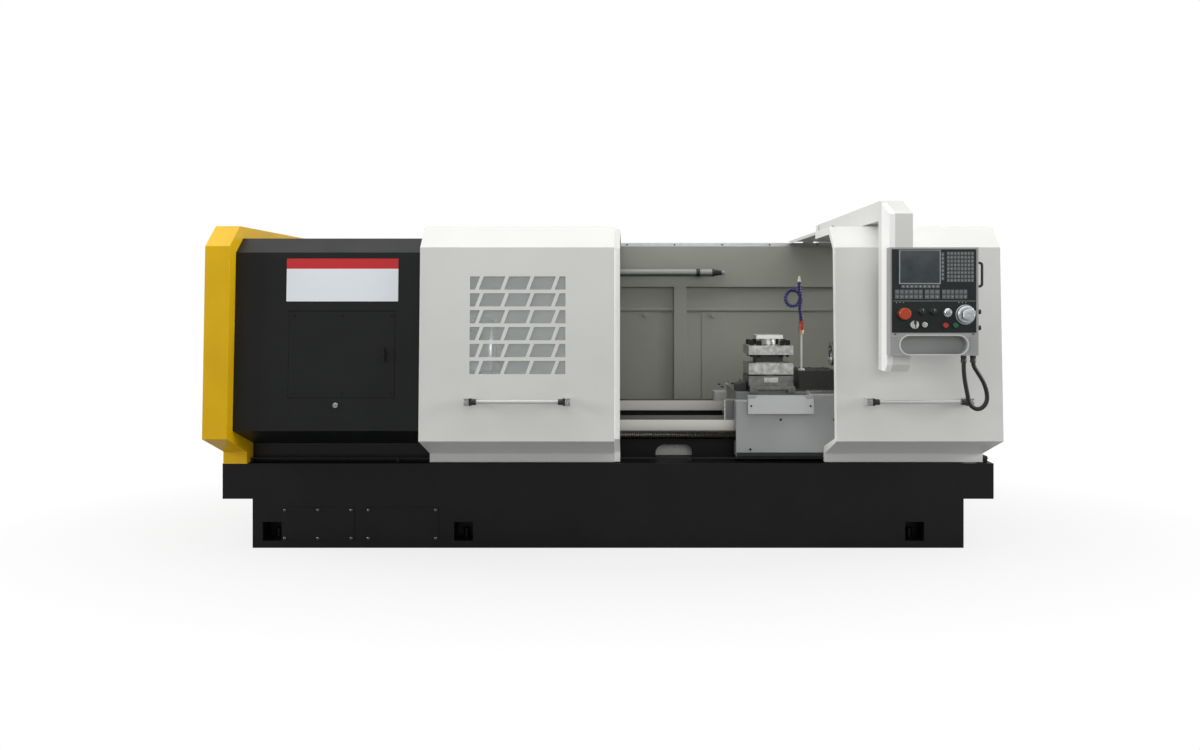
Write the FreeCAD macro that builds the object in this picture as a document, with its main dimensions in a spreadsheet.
"""A flat-bed turning lathe with a numerical control, sliding doors and a four-way tool post.

Millimetres. X runs from the headstock (left) to the tailstock (right), Y from the operator's
side to the back, Z up. The origin is on the floor, in the middle of the base.
"""
import FreeCAD, Part
import math
import os
import re
import Sketcher

doc = FreeCAD.newDocument("turning_lathe")
sheet = doc.addObject("Spreadsheet::Sheet", "Sizes")
sizes = {}
places = {}
nodes = []


def size(name, number):
    """Adds one driving dimension to the sheet, in millimetres or degrees."""
    cell = f"B{len(sizes) + 1}"
    sheet.set(f"A{len(sizes) + 1}", name)
    sheet.set(cell, str(number))
    sheet.setAlias(cell, name)
    sizes[name] = number


# Places along X are measured inward from an end of the base or of its plinth.
LEFT_END = "(Sizes.{} - Sizes.base_length / 2)"
RIGHT_END = "(Sizes.base_length / 2 - Sizes.{})"
PLINTH_LEFT_END = "(Sizes.{} - Sizes.plinth_length / 2)"
PLINTH_RIGHT_END = "(Sizes.plinth_length / 2 - Sizes.{})"
# What stands on the base is measured up from its top.
BASE_TOP = "(Sizes.base_top + Sizes.{})"
# The doors' roofs and the boom over them are measured up from the top of the rear guard.
GUARD_TOP = "(Sizes.base_top + Sizes.guard_top + Sizes.{})"
# What the control panel carries is measured from the panel's left edge.
PANEL_EDGE = "(Sizes.base_length / 2 - Sizes.panel_left + Sizes.{})"


def keep(table, start="Sizes.{}"):
    """Adds a table of sizes to the sheet, each measured from a start."""
    for name, number in table.items():
        size(name, number)
        places[name] = start.format(name)


def formula(text):
    """Turns a line of size names into an expression on the sheet."""
    return re.sub(r"\b([a-z][a-z_0-9]*)\b(?!\()", lambda word: places[word[1]], str(text))


def bind(thing, place, text):
    thing.setExpression(place, formula(text))


def shift(thing, x="0", y="0", z="0"):
    """Places an object by three formulas."""
    bind(thing, "Placement.Base.x", x)
    bind(thing, "Placement.Base.y", y)
    bind(thing, "Placement.Base.z", z)
    return thing


def unused_name(stem):
    """Gives a helper solid a name that no node has."""
    return f"{stem}_{len(doc.Objects)}"


def box(x, y, z):
    """A block between two formulas on each axis."""
    block = doc.addObject("Part::Box", unused_name("block"))
    bind(block, "Length", f"({x[1]}) - ({x[0]})")
    bind(block, "Width", f"({y[1]}) - ({y[0]})")
    bind(block, "Height", f"({z[1]}) - ({z[0]})")
    return shift(block, x[0], y[0], z[0])


TURN_TO = {
    "X": FreeCAD.Rotation(FreeCAD.Vector(0, 1, 0), 90),
    "Y": FreeCAD.Rotation(FreeCAD.Vector(1, 0, 0), -90),
    "Z": FreeCAD.Rotation(),
}


def rod(axis, radius, span, centre):
    """A cylinder along an axis; centre gives its other two coordinates, in X, Y, Z order."""
    bar = doc.addObject("Part::Cylinder", unused_name("rod"))
    bar.Placement = FreeCAD.Placement(FreeCAD.Vector(), TURN_TO[axis])
    bind(bar, "Radius", radius)
    bind(bar, "Height", f"({span[1]}) - ({span[0]})")
    place = list(centre)
    place.insert("XYZ".index(axis), span[0])
    return shift(bar, *place)


def draw(sketch, corners, closed=True):
    """Draws straight lines through corners given as pairs of formulas, each held to the origin."""
    count = len(corners)
    last = count if closed else count - 1
    rough = [FreeCAD.Vector(math.cos(k), math.sin(k), 0) for k in range(count)]
    lines = [Part.LineSegment(rough[k], rough[(k + 1) % count]) for k in range(last)]
    first = sketch.GeometryCount
    sketch.addGeometry(lines, False)
    links = last if closed else last - 1
    for k in range(links):
        ends = (first + k, 2, first + (k + 1) % count, 1)
        sketch.addConstraint(Sketcher.Constraint("Coincident", *ends))
    for k, (across, up) in enumerate(corners):
        point = (first + k, 1) if k < last else (first + last - 1, 2)
        for kind, letter, text in (("DistanceX", "u", across), ("DistanceY", "v", up)):
            index = sketch.addConstraint(Sketcher.Constraint(kind, -1, 1, *point, float(k + 1)))
            name = f"{letter}{first + k}"
            sketch.renameConstraint(index, name)
            sketch.setExpression(f"Constraints.{name}", formula(text))
    return sketch


SKETCH_TURN = {
    "X": FreeCAD.Rotation(FreeCAD.Vector(1, 1, 1), 120),
    "Y": FreeCAD.Rotation(FreeCAD.Vector(1, 0, 0), 90),
    "Z": FreeCAD.Rotation(),
}
ALONG = {
    "X": FreeCAD.Vector(1, 0, 0),
    "Y": FreeCAD.Vector(0, 1, 0),
    "Z": FreeCAD.Vector(0, 0, 1),
}


def flat_sketch(axis, corners, low, closed=True):
    """A sketch square to an axis: Y, Z across X; X, Z across Y; X, Y across Z."""
    sketch = doc.addObject("Sketcher::SketchObject", unused_name("outline"))
    sketch.Placement = FreeCAD.Placement(FreeCAD.Vector(), SKETCH_TURN[axis])
    draw(sketch, corners, closed)
    bind(sketch, f"Placement.Base.{axis.lower()}", low)
    return sketch


def extrude(axis, face, span):
    solid = doc.addObject("Part::Extrusion", unused_name("extrusion"))
    solid.Base = face
    solid.DirMode = "Custom"
    solid.Dir = ALONG[axis]
    solid.Solid = True
    bind(solid, "LengthFwd", f"({span[1]}) - ({span[0]})")
    return solid


def prism(axis, corners, span):
    """A closed outline pushed along an axis from one formula to another."""
    return extrude(axis, flat_sketch(axis, corners, span[0]), span)


def folded(axis, corners, gauge, span):
    """A sheet folded along an open outline, which is the outside of the folds."""
    strip = doc.addObject("Part::Offset2D", unused_name("fold"))
    strip.Source = flat_sketch(axis, corners, span[0], closed=False)
    strip.Mode = 0
    strip.Join = 2
    strip.Fill = True
    bind(strip, "Value", gauge)
    return extrude(axis, strip, span)


BODY_TURN = {
    "X": FreeCAD.Rotation(),
    "-X": FreeCAD.Rotation(FreeCAD.Vector(0, 0, 1), 180),
    "-Y": FreeCAD.Rotation(FreeCAD.Vector(0, 0, 1), -90),
    "Z": FreeCAD.Rotation(FreeCAD.Vector(0, 1, 0), -90),
}


def origin_plane(body, role):
    return [item for item in body.Origin.OriginFeatures if item.Role == role][0]


def turned(axis, corners, centre):
    """A body of revolution: corners are (distance along the axis, radius) from its centre."""
    body = doc.addObject("PartDesign::Body", unused_name("turned"))
    sketch = body.newObject("Sketcher::SketchObject", unused_name("profile"))
    sketch.AttachmentSupport = (origin_plane(body, "XY_Plane"), [""])
    sketch.MapMode = "FlatFace"
    draw(sketch, corners)
    spin = body.newObject("PartDesign::Revolution", unused_name("revolution"))
    spin.Profile = sketch
    spin.ReferenceAxis = (sketch, ["H_Axis"])
    spin.Angle = 360
    body.Placement = FreeCAD.Placement(FreeCAD.Vector(), BODY_TURN[axis])
    return shift(body, *centre)


def fuse(*solids):
    whole = doc.addObject("Part::MultiFuse", unused_name("fusion"))
    whole.Shapes = list(solids)
    whole.Refine = True
    return whole


def cut(base, *tools):
    result = doc.addObject("Part::Cut", unused_name("cut"))
    result.Base = base
    result.Tool = tools[0] if len(tools) == 1 else fuse(*tools)
    result.Refine = True
    return result


def group(*solids):
    """Separate solids that share one node."""
    bundle = doc.addObject("Part::Compound", unused_name("group"))
    bundle.Links = list(solids)
    return bundle


def node(name, solid):
    """Gives a finished sub-part the label that names its file."""
    solid.Label = name
    nodes.append(solid)
    return solid


# ---------------------------------------------------------------------------------------------
# Base: one welded black box in two tiers, with lifting pockets and a bay for the coolant tank.
# ---------------------------------------------------------------------------------------------
BASE_SIZES = {
    "base_length": 3982,
    "base_front": -550,
    "base_back": 550,
    "base_top": 436,
    "plinth_length": 3672,
    "plinth_top": 253,
    "base_wall": 18,
    "pocket_side": 98,
    "pocket_bottom": 36,
    "pocket_depth": 120,
    "tank_bay_length": 900,
    "tank_bay_top": 236,
    "anchor_hole_radius": 14,
    "anchor_inset": 60,
}
keep(BASE_SIZES)
BASE_FROM_RIGHT_END = {
    "tank_bay_left": 1891,
}
keep(BASE_FROM_RIGHT_END, RIGHT_END)
BASE_FROM_PLINTH_LEFT_END = {
    "pocket_left": 101,
    "pocket_middle": 1089,
}
keep(BASE_FROM_PLINTH_LEFT_END, PLINTH_LEFT_END)
BASE_FROM_PLINTH_RIGHT_END = {
    "pocket_right": 253,
}
keep(BASE_FROM_PLINTH_RIGHT_END, PLINTH_RIGHT_END)

BASE_LEFT = "-base_length / 2"
BASE_RIGHT = "base_length / 2"
PLINTH_LEFT = "-plinth_length / 2"
PLINTH_RIGHT = "plinth_length / 2"
BASE_DEPTH = ("base_front", "base_back")
POCKETS = ("pocket_left", "pocket_middle", "pocket_right")
POCKET_TOP = "pocket_bottom + pocket_side"
TANK_BAY_RIGHT = "tank_bay_left + tank_bay_length"


def pocket_walls(middle, y, grow):
    """The square pocket at one place, or the box round it when it is grown by a wall."""
    half = f"pocket_side / 2 + {grow}"
    across = (f"{middle} - ({half})", f"{middle} + ({half})")
    return box(across, y, (f"pocket_bottom - {grow}", f"{POCKET_TOP} + {grow}"))


outer = fuse(
    box((BASE_LEFT, BASE_RIGHT), BASE_DEPTH, ("plinth_top", "base_top")),
    box((PLINTH_LEFT, PLINTH_RIGHT), BASE_DEPTH, ("0", "plinth_top")),
)
hollow = fuse(
    box((f"{BASE_LEFT} + base_wall", f"{BASE_RIGHT} - base_wall"),
        ("base_front + base_wall", "base_back - base_wall"),
        ("plinth_top + base_wall", "base_top - base_wall")),
    box((f"{PLINTH_LEFT} + base_wall", f"{PLINTH_RIGHT} - base_wall"),
        ("base_front + base_wall", "base_back - base_wall"),
        ("base_wall", "base_top - base_wall")),
)
front_pocket = ("base_front - 1", "base_front + pocket_depth")
back_pocket = ("base_back - pocket_depth", "base_back + 1")
front_case = ("base_front", "base_front + pocket_depth + base_wall")
back_case = ("base_back - pocket_depth - base_wall", "base_back")
cases = [pocket_walls(middle, front_case, "base_wall") for middle in POCKETS]
cases += [pocket_walls(middle, back_case, "base_wall") for middle in POCKETS]
pockets = [pocket_walls(middle, front_pocket, "0") for middle in POCKETS]
pockets += [pocket_walls(middle, back_pocket, "0") for middle in POCKETS]
tank_bay = box(("tank_bay_left", TANK_BAY_RIGHT), ("base_back - 2 * base_wall", "base_back + 1"),
               ("base_wall", "tank_bay_top"))

# The anchor bolts pass through the floor of the corner pockets.
anchors = []
for middle in ("pocket_left", "pocket_right"):
    for depth in ("base_front + anchor_inset", "base_back - anchor_inset"):
        anchors.append(rod("Z", "anchor_hole_radius", ("-1", "pocket_bottom + 1"),
                           (middle, depth)))
base_shell = fuse(cut(outer, hollow), *cases)
base = node("base", cut(base_shell, *pockets, tank_bay, *anchors))

# ---------------------------------------------------------------------------------------------
# Plates screwed on the front of the base, and the levelling screws beside the pockets.
# ---------------------------------------------------------------------------------------------
PLATE_SIZES = {
    "plate_gauge": 3,
    "plate_low": 37,
    "plate_high": 210,
    "screw_head_radius": 7,
    "screw_head_height": 4,
    "screw_inset": 14,
    "levelling_radius": 16,
    "levelling_height": 46,
    "levelling_inset": 98,
}
keep(PLATE_SIZES)
PLATE_FROM_LEFT_END = {
    "plate_a_left": 309,
    "plate_a_right": 680,
    "plate_b_left": 740,
    "plate_b_right": 1116,
}
keep(PLATE_FROM_LEFT_END, LEFT_END)


def screwed_plate(left, right, columns):
    """A cover plate with a row of screw heads along its top and its foot."""
    front = "base_front - plate_gauge"
    head = (f"{front} - screw_head_height", front)
    parts = [box((left, right), (front, "base_front"), ("plate_low", "plate_high"))]
    for k in range(columns):
        x = f"{left} + screw_inset + ({right} - {left} - 2 * screw_inset) * {k} / {columns - 1}"
        for z in ("plate_low + screw_inset", "plate_high - screw_inset"):
            parts.append(rod("Y", "screw_head_radius", head, (x, z)))
    return parts


# The levelling screws stand on the floor inside the corner pockets.
levelling = []
for middle in POCKETS:
    for depth in ("base_front + levelling_inset", "base_back - levelling_inset"):
        levelling.append(rod("Z", "levelling_radius", 
                              ("pocket_bottom", "pocket_bottom + levelling_height"),
                             (middle, depth)))
plates = [fuse(*screwed_plate("plate_a_left", "plate_a_right", 3)),
          fuse(*screwed_plate("plate_b_left", "plate_b_right", 2))]
node("base_fittings", group(*plates, *levelling))

# ---------------------------------------------------------------------------------------------
# Bed: one iron casting with two ways, a web between them and arched windows down both walls.
# ---------------------------------------------------------------------------------------------
BED_SIZES = {
    "way_width": 80,
    "way_height": 58,
    "front_way_front": -380,
    "rear_way_front": 100,
    "way_lip": 8,
    "moulding_depth": 6,
    "vee_inset": 35,
    "vee_half": 20,
    "vee_height": 20,
    "arch_first": -647,
    "arch_pitch": 449,
    "arch_width": 199,
    "arch_height": 70,
    "arch_radius": 46,
}
keep(BED_SIZES)
BED_ABOVE_BASE = {
    "front_way_top": 204,
    "rear_way_top": 255,
    "moulding_low": 104,
    "moulding_high": 130,
    "bed_web_low": 76,
    "bed_web_high": 100,
}
keep(BED_ABOVE_BASE, BASE_TOP)
BED_FROM_LEFT_END = {
    "bed_left": 130,
}
keep(BED_FROM_LEFT_END, LEFT_END)
BED_FROM_RIGHT_END = {
    "bed_right": 91,
}
keep(BED_FROM_RIGHT_END, RIGHT_END)

ARCH_COUNT = 6

FRONT_WAY_BACK = "front_way_front + way_width"
REAR_WAY_BACK = "rear_way_front + way_width"
FRONT_WAY_LOW = "front_way_top - way_height"
REAR_WAY_LOW = "rear_way_top - way_height"
VEE = "front_way_front + vee_inset"
MOULDING_FRONT = "front_way_front + way_lip - moulding_depth"


def way_tops(gap):
    """The tops of both ways from front to back, raised by a gap: what slides fits over this."""
    return [
        ("front_way_front", f"front_way_top + {gap}"),
        (f"{VEE} - vee_half", f"front_way_top + {gap}"),
        (VEE, f"front_way_top + vee_height + {gap}"),
        (f"{VEE} + vee_half", f"front_way_top + {gap}"),
        (FRONT_WAY_BACK, f"front_way_top + {gap}"),
    ]


bed_outline = [
    ("front_way_front + way_lip", "base_top"),
    ("front_way_front + way_lip", "moulding_low"),
    (MOULDING_FRONT, "moulding_low + moulding_depth"),
    (MOULDING_FRONT, "moulding_high - moulding_depth"),
    ("front_way_front + way_lip", "moulding_high"),
    ("front_way_front + way_lip", FRONT_WAY_LOW),
    ("front_way_front", FRONT_WAY_LOW),
    *way_tops("0"),
    (FRONT_WAY_BACK, FRONT_WAY_LOW),
    (f"{FRONT_WAY_BACK} - way_lip", FRONT_WAY_LOW),
    (f"{FRONT_WAY_BACK} - way_lip", "bed_web_high"),
    ("rear_way_front + way_lip", "bed_web_high"),
    ("rear_way_front + way_lip", REAR_WAY_LOW),
    ("rear_way_front", REAR_WAY_LOW),
    ("rear_way_front", "rear_way_top"),
    (REAR_WAY_BACK, "rear_way_top"),
    (REAR_WAY_BACK, REAR_WAY_LOW),
    (f"{REAR_WAY_BACK} - way_lip", REAR_WAY_LOW),
    (f"{REAR_WAY_BACK} - way_lip", "base_top"),
    ("rear_way_front + way_lip", "base_top"),
    ("rear_way_front + way_lip", "bed_web_low"),
    (f"{FRONT_WAY_BACK} - way_lip", "bed_web_low"),
    (f"{FRONT_WAY_BACK} - way_lip", "base_top"),
]


def arch(left):
    """A window with a flat foot and two round shoulders, through both walls of the bed."""
    right = f"{left} + arch_width"
    through = ("front_way_front", REAR_WAY_BACK)
    spring = "base_top + arch_height - arch_radius"
    crown = "base_top + arch_height"
    return fuse(
        box((left, right), through, ("base_top - 1", spring)),
        box((f"{left} + arch_radius", f"{right} - arch_radius"), through,
            ("base_top - 1", crown)),
        rod("Y", "arch_radius", through, (f"{left} + arch_radius", spring)),
        rod("Y", "arch_radius", through, (f"{right} - arch_radius", spring)),
    )


arches = [arch(f"arch_first + {k} * arch_pitch") for k in range(ARCH_COUNT)]
bed = cut(prism("X", bed_outline, ("bed_left", "bed_right")), *arches)
node("bed", bed)

# ---------------------------------------------------------------------------------------------
# Headstock: a hollow casting on the left end of the ways, bored for the spindle.
# ---------------------------------------------------------------------------------------------
HEADSTOCK_SIZES = {
    "spindle_y": -100,
    "headstock_bevel": 40,
    "casting_wall": 28,
    "spindle_radius": 75,
    "running_gap": 0.05,
    "bearing_cap_radius": 165,
    "bearing_cap_height": 8,
}
keep(HEADSTOCK_SIZES)
HEADSTOCK_ABOVE_BASE = {
    "spindle_z": 540,
    "headstock_top": 754,
}
keep(HEADSTOCK_ABOVE_BASE, BASE_TOP)
HEADSTOCK_FROM_LEFT_END = {
    "headstock_left": 141,
    "headstock_right": 1191,
}
keep(HEADSTOCK_FROM_LEFT_END, LEFT_END)

SPINDLE_AXIS = ("spindle_y", "spindle_z")
HEADSTOCK = ("headstock_left", "headstock_right")
headstock_outline = [
    *way_tops("0"),
    (FRONT_WAY_BACK, "rear_way_top"),
    (REAR_WAY_BACK, "rear_way_top"),
    (REAR_WAY_BACK, "headstock_top - headstock_bevel"),
    (f"{REAR_WAY_BACK} - headstock_bevel", "headstock_top"),
    ("front_way_front + headstock_bevel", "headstock_top"),
    ("front_way_front", "headstock_top - headstock_bevel"),
]
gearbox = box(("headstock_left + casting_wall", "headstock_right - casting_wall"),
              ("front_way_front + casting_wall", f"{REAR_WAY_BACK} - casting_wall"),
              ("rear_way_top + casting_wall", "headstock_top - headstock_bevel - casting_wall"))
bearing_cap = rod("X", "bearing_cap_radius",
                  ("headstock_right", "headstock_right + bearing_cap_height"), SPINDLE_AXIS)
spindle_bore = rod("X", "spindle_radius + running_gap",
                   ("headstock_left - 1", "headstock_right + bearing_cap_height + 1"),
                   SPINDLE_AXIS)
headstock = fuse(cut(prism("X", headstock_outline, HEADSTOCK), gearbox), bearing_cap)
node("headstock", cut(headstock, spindle_bore))

# ---------------------------------------------------------------------------------------------
# Spindle: a hollow shaft with a flanged nose, and its grooved belt pulley at the left end.
# ---------------------------------------------------------------------------------------------
SPINDLE_SIZES = {
    "spindle_flange_radius": 125,
    "spindle_bore_radius": 52,
    "pulley_inset": 8,
    "pulley_width": 72,
    "spindle_pulley_radius": 140,
    "motor_pulley_radius": 72,
    "groove_depth": 8,
    "groove_mouth": 0.35,
    "groove_foot": 0.15,
}
keep(SPINDLE_SIZES)
SPINDLE_FROM_LEFT_END = {
    "spindle_left": 26,
    "spindle_flange_left": 1201,
    "chuck_left": 1231,
}
keep(SPINDLE_FROM_LEFT_END, LEFT_END)

GROOVE_COUNT = 3

shaft_length = "spindle_flange_left - spindle_left"
nose = "chuck_left - spindle_left"
spindle_shaft = turned("X", [
    ("0", "spindle_bore_radius"),
    ("0", "spindle_radius"),
    (shaft_length, "spindle_radius"),
    (shaft_length, "spindle_flange_radius"),
    (nose, "spindle_flange_radius"),
    (nose, "spindle_bore_radius"),
], ("spindle_left", *SPINDLE_AXIS))


def pulley(bore, radius, centre):
    """A belt pulley with vee grooves between its rims."""
    pitch = f"pulley_width / {GROOVE_COUNT}"
    outline = [("0", bore), ("0", radius)]
    for k in range(GROOVE_COUNT):
        middle = f"({k} + 0.5) * {pitch}"
        outline.append((f"{middle} - groove_mouth * {pitch}", radius))
        outline.append((f"{middle} - groove_foot * {pitch}", f"{radius} - groove_depth"))
        outline.append((f"{middle} + groove_foot * {pitch}", f"{radius} - groove_depth"))
        outline.append((f"{middle} + groove_mouth * {pitch}", radius))
    outline.append(("pulley_width", radius))
    outline.append(("pulley_width", bore))
    return turned("X", outline, centre)


PULLEY_LEFT = "spindle_left + pulley_inset"
spindle_pulley = pulley("spindle_radius", "spindle_pulley_radius", (PULLEY_LEFT, *SPINDLE_AXIS))
node("spindle", group(spindle_shaft, spindle_pulley))

# ---------------------------------------------------------------------------------------------
# Three-jaw chuck: a round body with a bevelled face, three radial slots and stepped jaws.
# ---------------------------------------------------------------------------------------------
CHUCK_SIZES = {
    "chuck_radius": 200,
    "chuck_width": 120,
    "chuck_bevel": 10,
    "slot_width": 44,
    "slot_depth": 52,
    "slot_start": 38,
    "jaw_gap": 0.3,
    "jaw_inner": 70,
    "jaw_length": 86,
    "jaw_step": 25,
    "jaw_reach": 50,
}
keep(CHUCK_SIZES)

JAW_ANGLES = (0, 120, 240)


def spun(solid, angle, centre):
    """Turns a solid about X and carries it to a centre."""
    turned_solid = group(solid)
    turn = FreeCAD.Rotation(FreeCAD.Vector(1, 0, 0), angle)
    turned_solid.Placement = FreeCAD.Placement(FreeCAD.Vector(), turn)
    return shift(turned_solid, *centre)


chuck_body = turned("X", [
    ("0", "spindle_bore_radius"),
    ("0", "chuck_radius"),
    ("chuck_width - chuck_bevel", "chuck_radius"),
    ("chuck_width", "chuck_radius - chuck_bevel"),
    ("chuck_width", "spindle_bore_radius"),
], ("chuck_left", *SPINDLE_AXIS))
jaw_slot = box(("chuck_width - slot_depth", "chuck_width + 1"),
               ("-slot_width / 2", "slot_width / 2"), ("slot_start", "chuck_radius + 1"))
CHUCK_CENTRE = ("chuck_left", *SPINDLE_AXIS)
node("chuck", cut(chuck_body, *[spun(jaw_slot, angle, CHUCK_CENTRE) for angle in JAW_ANGLES]))

JAW_SIDES = ("-slot_width / 2 + jaw_gap", "slot_width / 2 - jaw_gap")
JAW_FOOT = "chuck_width - slot_depth + jaw_gap"
jaw_shape = fuse(
    box((JAW_FOOT, "chuck_width + jaw_step"), JAW_SIDES, ("jaw_inner", "jaw_inner + jaw_length")),
    box((JAW_FOOT, "chuck_width + jaw_reach"), JAW_SIDES,
        ("jaw_inner", "jaw_inner + jaw_length / 2")),
)
for number, angle in enumerate(JAW_ANGLES, start=1):
    node(f"jaw_{number}", spun(jaw_shape, angle, CHUCK_CENTRE))

# ---------------------------------------------------------------------------------------------
# Main motor behind the headstock, its pulley and belts, and the servo motor of the long screw.
# ---------------------------------------------------------------------------------------------
DRIVE_SIZES = {
    "motor_y": 330,
    "motor_radius": 130,
    "motor_length": 420,
    "motor_shaft_radius": 24,
    "foot_height": 30,
    "screw_y": -440,
    "screw_radius": 20,
    "servo_half": 54,
    "servo_front": 34,
    "servo_length": 180,
    "bearing_block_width": 36,
    "belt_gap": 0.5,
    "belt_height": 9,
    "belt_width": 14,
    "motor_foot_inset": 60,
    "motor_foot_share": 0.8,
    "block_seat": 30,
    "motor_shaft_reach": 40,
    "screw_end": 5,
}
keep(DRIVE_SIZES)
DRIVE_ABOVE_BASE = {
    "motor_z": 136,
    "screw_z": 130,
}
keep(DRIVE_ABOVE_BASE, BASE_TOP)
DRIVE_FROM_LEFT_END = {
    "motor_left": 141,
    "screw_left": 1211,
}
keep(DRIVE_FROM_LEFT_END, LEFT_END)
DRIVE_FROM_RIGHT_END = {
    "screw_right": 181,
}
keep(DRIVE_FROM_RIGHT_END, RIGHT_END)

MOTOR_AXIS = ("motor_y", "motor_z")
SCREW_AXIS = ("screw_y", "screw_z")
MOTOR_RIGHT = "motor_left + motor_length"
main_motor = fuse(
    rod("X", "motor_radius", ("motor_left", MOTOR_RIGHT), MOTOR_AXIS),
    box(("motor_left + motor_foot_inset", f"{MOTOR_RIGHT} - motor_foot_inset"),
        ("motor_y - motor_radius * motor_foot_share",
         "motor_y + motor_radius * motor_foot_share"),
        ("base_top", "base_top + foot_height")),
)
motor_bore = rod("X", "motor_shaft_radius + running_gap", ("motor_left - 1", "motor_left + 60"),
                 MOTOR_AXIS)
BLOCK_DEPTH = ("screw_y - servo_front", "front_way_front")
BLOCK_RISE = ("screw_z - servo_half", f"{FRONT_WAY_LOW} + block_seat")
left_block = box(("screw_left - bearing_block_width", "screw_left"), BLOCK_DEPTH, BLOCK_RISE)
right_block = box(("screw_right - bearing_block_width", "screw_right"), BLOCK_DEPTH, BLOCK_RISE)
screw_hole = rod("X", "screw_radius + running_gap", ("screw_left - servo_length", "screw_right + 1"),
                 SCREW_AXIS)
servo = box(("screw_left - bearing_block_width - servo_length", "screw_left - bearing_block_width"),
            ("screw_y - servo_front", "screw_y + servo_half"),
            ("screw_z - servo_half", "screw_z + servo_half"))
node("motors", group(cut(main_motor, motor_bore), cut(fuse(left_block, servo), screw_hole),
                     cut(right_block, screw_hole)))

motor_wheel = pulley("motor_shaft_radius", "motor_pulley_radius", (PULLEY_LEFT, *MOTOR_AXIS))
motor_shaft = rod("X", "motor_shaft_radius", (PULLEY_LEFT, "motor_left + motor_shaft_reach"), MOTOR_AXIS)
node("motor_pulley", group(motor_wheel, motor_shaft))


def belt_loop(gap):
    """The closed line round both pulleys, a gap outside their rims."""
    base_top = sizes["base_top"]
    first = FreeCAD.Vector(0, sizes["spindle_y"], base_top + sizes["spindle_z"])
    second = FreeCAD.Vector(0, sizes["motor_y"], base_top + sizes["motor_z"])
    big = sizes["spindle_pulley_radius"] + gap
    small = sizes["motor_pulley_radius"] + gap
    line = second - first
    along = line / line.Length
    across = FreeCAD.Vector(0, -along.z, along.y)
    lean = (big - small) / line.Length
    side = math.sqrt(1 - lean * lean)
    upper = along * lean + across * side
    lower = along * lean - across * side
    big_arc = Part.Arc(first + upper * big, first - along * big, first + lower * big)
    small_arc = Part.Arc(second + lower * small, second + along * small, second + upper * small)
    straights = (Part.LineSegment(first + lower * big, second + lower * small),
                 Part.LineSegment(second + upper * small, first + upper * big))
    edges = [big_arc, straights[0], small_arc, straights[1]]
    return Part.Wire([edge.toShape() for edge in edges])


belts = []
for k in range(GROOVE_COUNT):
    rim = Part.Face(belt_loop(sizes["belt_gap"]))
    crown = Part.Face(belt_loop(sizes["belt_gap"] + sizes["belt_height"]))
    ring = crown.cut(rim).Faces[0]
    middle = (k + 0.5) * sizes["pulley_width"] / GROOVE_COUNT
    inset = sizes["pulley_inset"] + middle - sizes["belt_width"] / 2
    left = sizes["spindle_left"] - sizes["base_length"] / 2 + inset
    belt = doc.addObject("Part::Feature", unused_name("belt"))
    belt.Shape = ring.extrude(FreeCAD.Vector(sizes["belt_width"], 0, 0))
    belt.Placement = FreeCAD.Placement(FreeCAD.Vector(left, 0, 0), FreeCAD.Rotation())
    belts.append(belt)
node("drive_belts", group(*belts))

screw = rod("X", "screw_radius", ("screw_left - bearing_block_width", "screw_right - screw_end"), SCREW_AXIS)
node("long_screw", screw)

# ---------------------------------------------------------------------------------------------
# Sheet covers over the left end: the black headstock cover and the yellow end cover.
# ---------------------------------------------------------------------------------------------
COVER_SIZES = {
    "sheet_gauge": 3,
    "guard_front": 500,
    "guard_back": 550,
    "cover_skirt_y": -479,
    "cover_knee_y": -735,
    "cover_brow_y": -693,
    "cover_eave_y": -606,
    "access_gap": 2,
    "access_cut": 20,
    "servo_notch_depth": 10,
    "latch_gap": 1.2,
    "latch_reach": 14,
    "end_inset": 8,
    "flange_depth": 22,
    "end_flange": 90,
    "lock_radius": 13.5,
    "lock_height": 9,
    "access_seat": 12,
    "servo_notch_gap": 8,
    "latch_shaft_radius": 6,
    "latch_boss_radius": 15,
    "latch_boss_height": 5,
    "latch_paddle_width": 14,
    "latch_paddle_length": 66,
    "latch_paddle_height": 12,
    "end_cover_front": -800,
    "end_skirt_y": -560,
    "end_brow_y": -765,
    "end_eave_y": -645,
    "nameplate_gauge": 2,
}
keep(COVER_SIZES)
COVER_ABOVE_BASE = {
    "cover_skirt_top": 95,
    "cover_knee_z": 194,
    "cover_brow_z": 1082,
    "cover_roof_z": 1158,
    "access_low": 356,
    "access_high": 789,
    "lock_z": 322,
    "latch_z": 572,
    "end_skirt_top": 63,
    "end_knee_z": 162,
    "end_brow_z": 1110,
    "end_roof_z": 1218,
    "nameplate_low": 837,
    "nameplate_high": 1051,
}
keep(COVER_ABOVE_BASE, BASE_TOP)
COVER_FROM_LEFT_END = {
    "cover_right": 1091,
    "access_left": 401,
    "access_right": 932,
    "lock_x": 641,
    "latch_x": 877,
    "nameplate_left": 387,
    "nameplate_right": 945,
}
keep(COVER_FROM_LEFT_END, LEFT_END)

COVER_PROFILE = [
    ("cover_skirt_y", "base_top"),
    ("cover_skirt_y", "cover_skirt_top"),
    ("cover_knee_y", "cover_knee_z"),
    ("cover_brow_y", "cover_brow_z"),
    ("cover_eave_y", "cover_roof_z"),
    ("guard_front", "cover_roof_z"),
]


def cover_face(z):
    """The outside of the black cover's leaning front at a height."""
    lean = "(cover_brow_y - cover_knee_y) / (cover_brow_z - cover_knee_z)"
    return f"cover_knee_y + ({z} - cover_knee_z) * {lean}"


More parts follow.
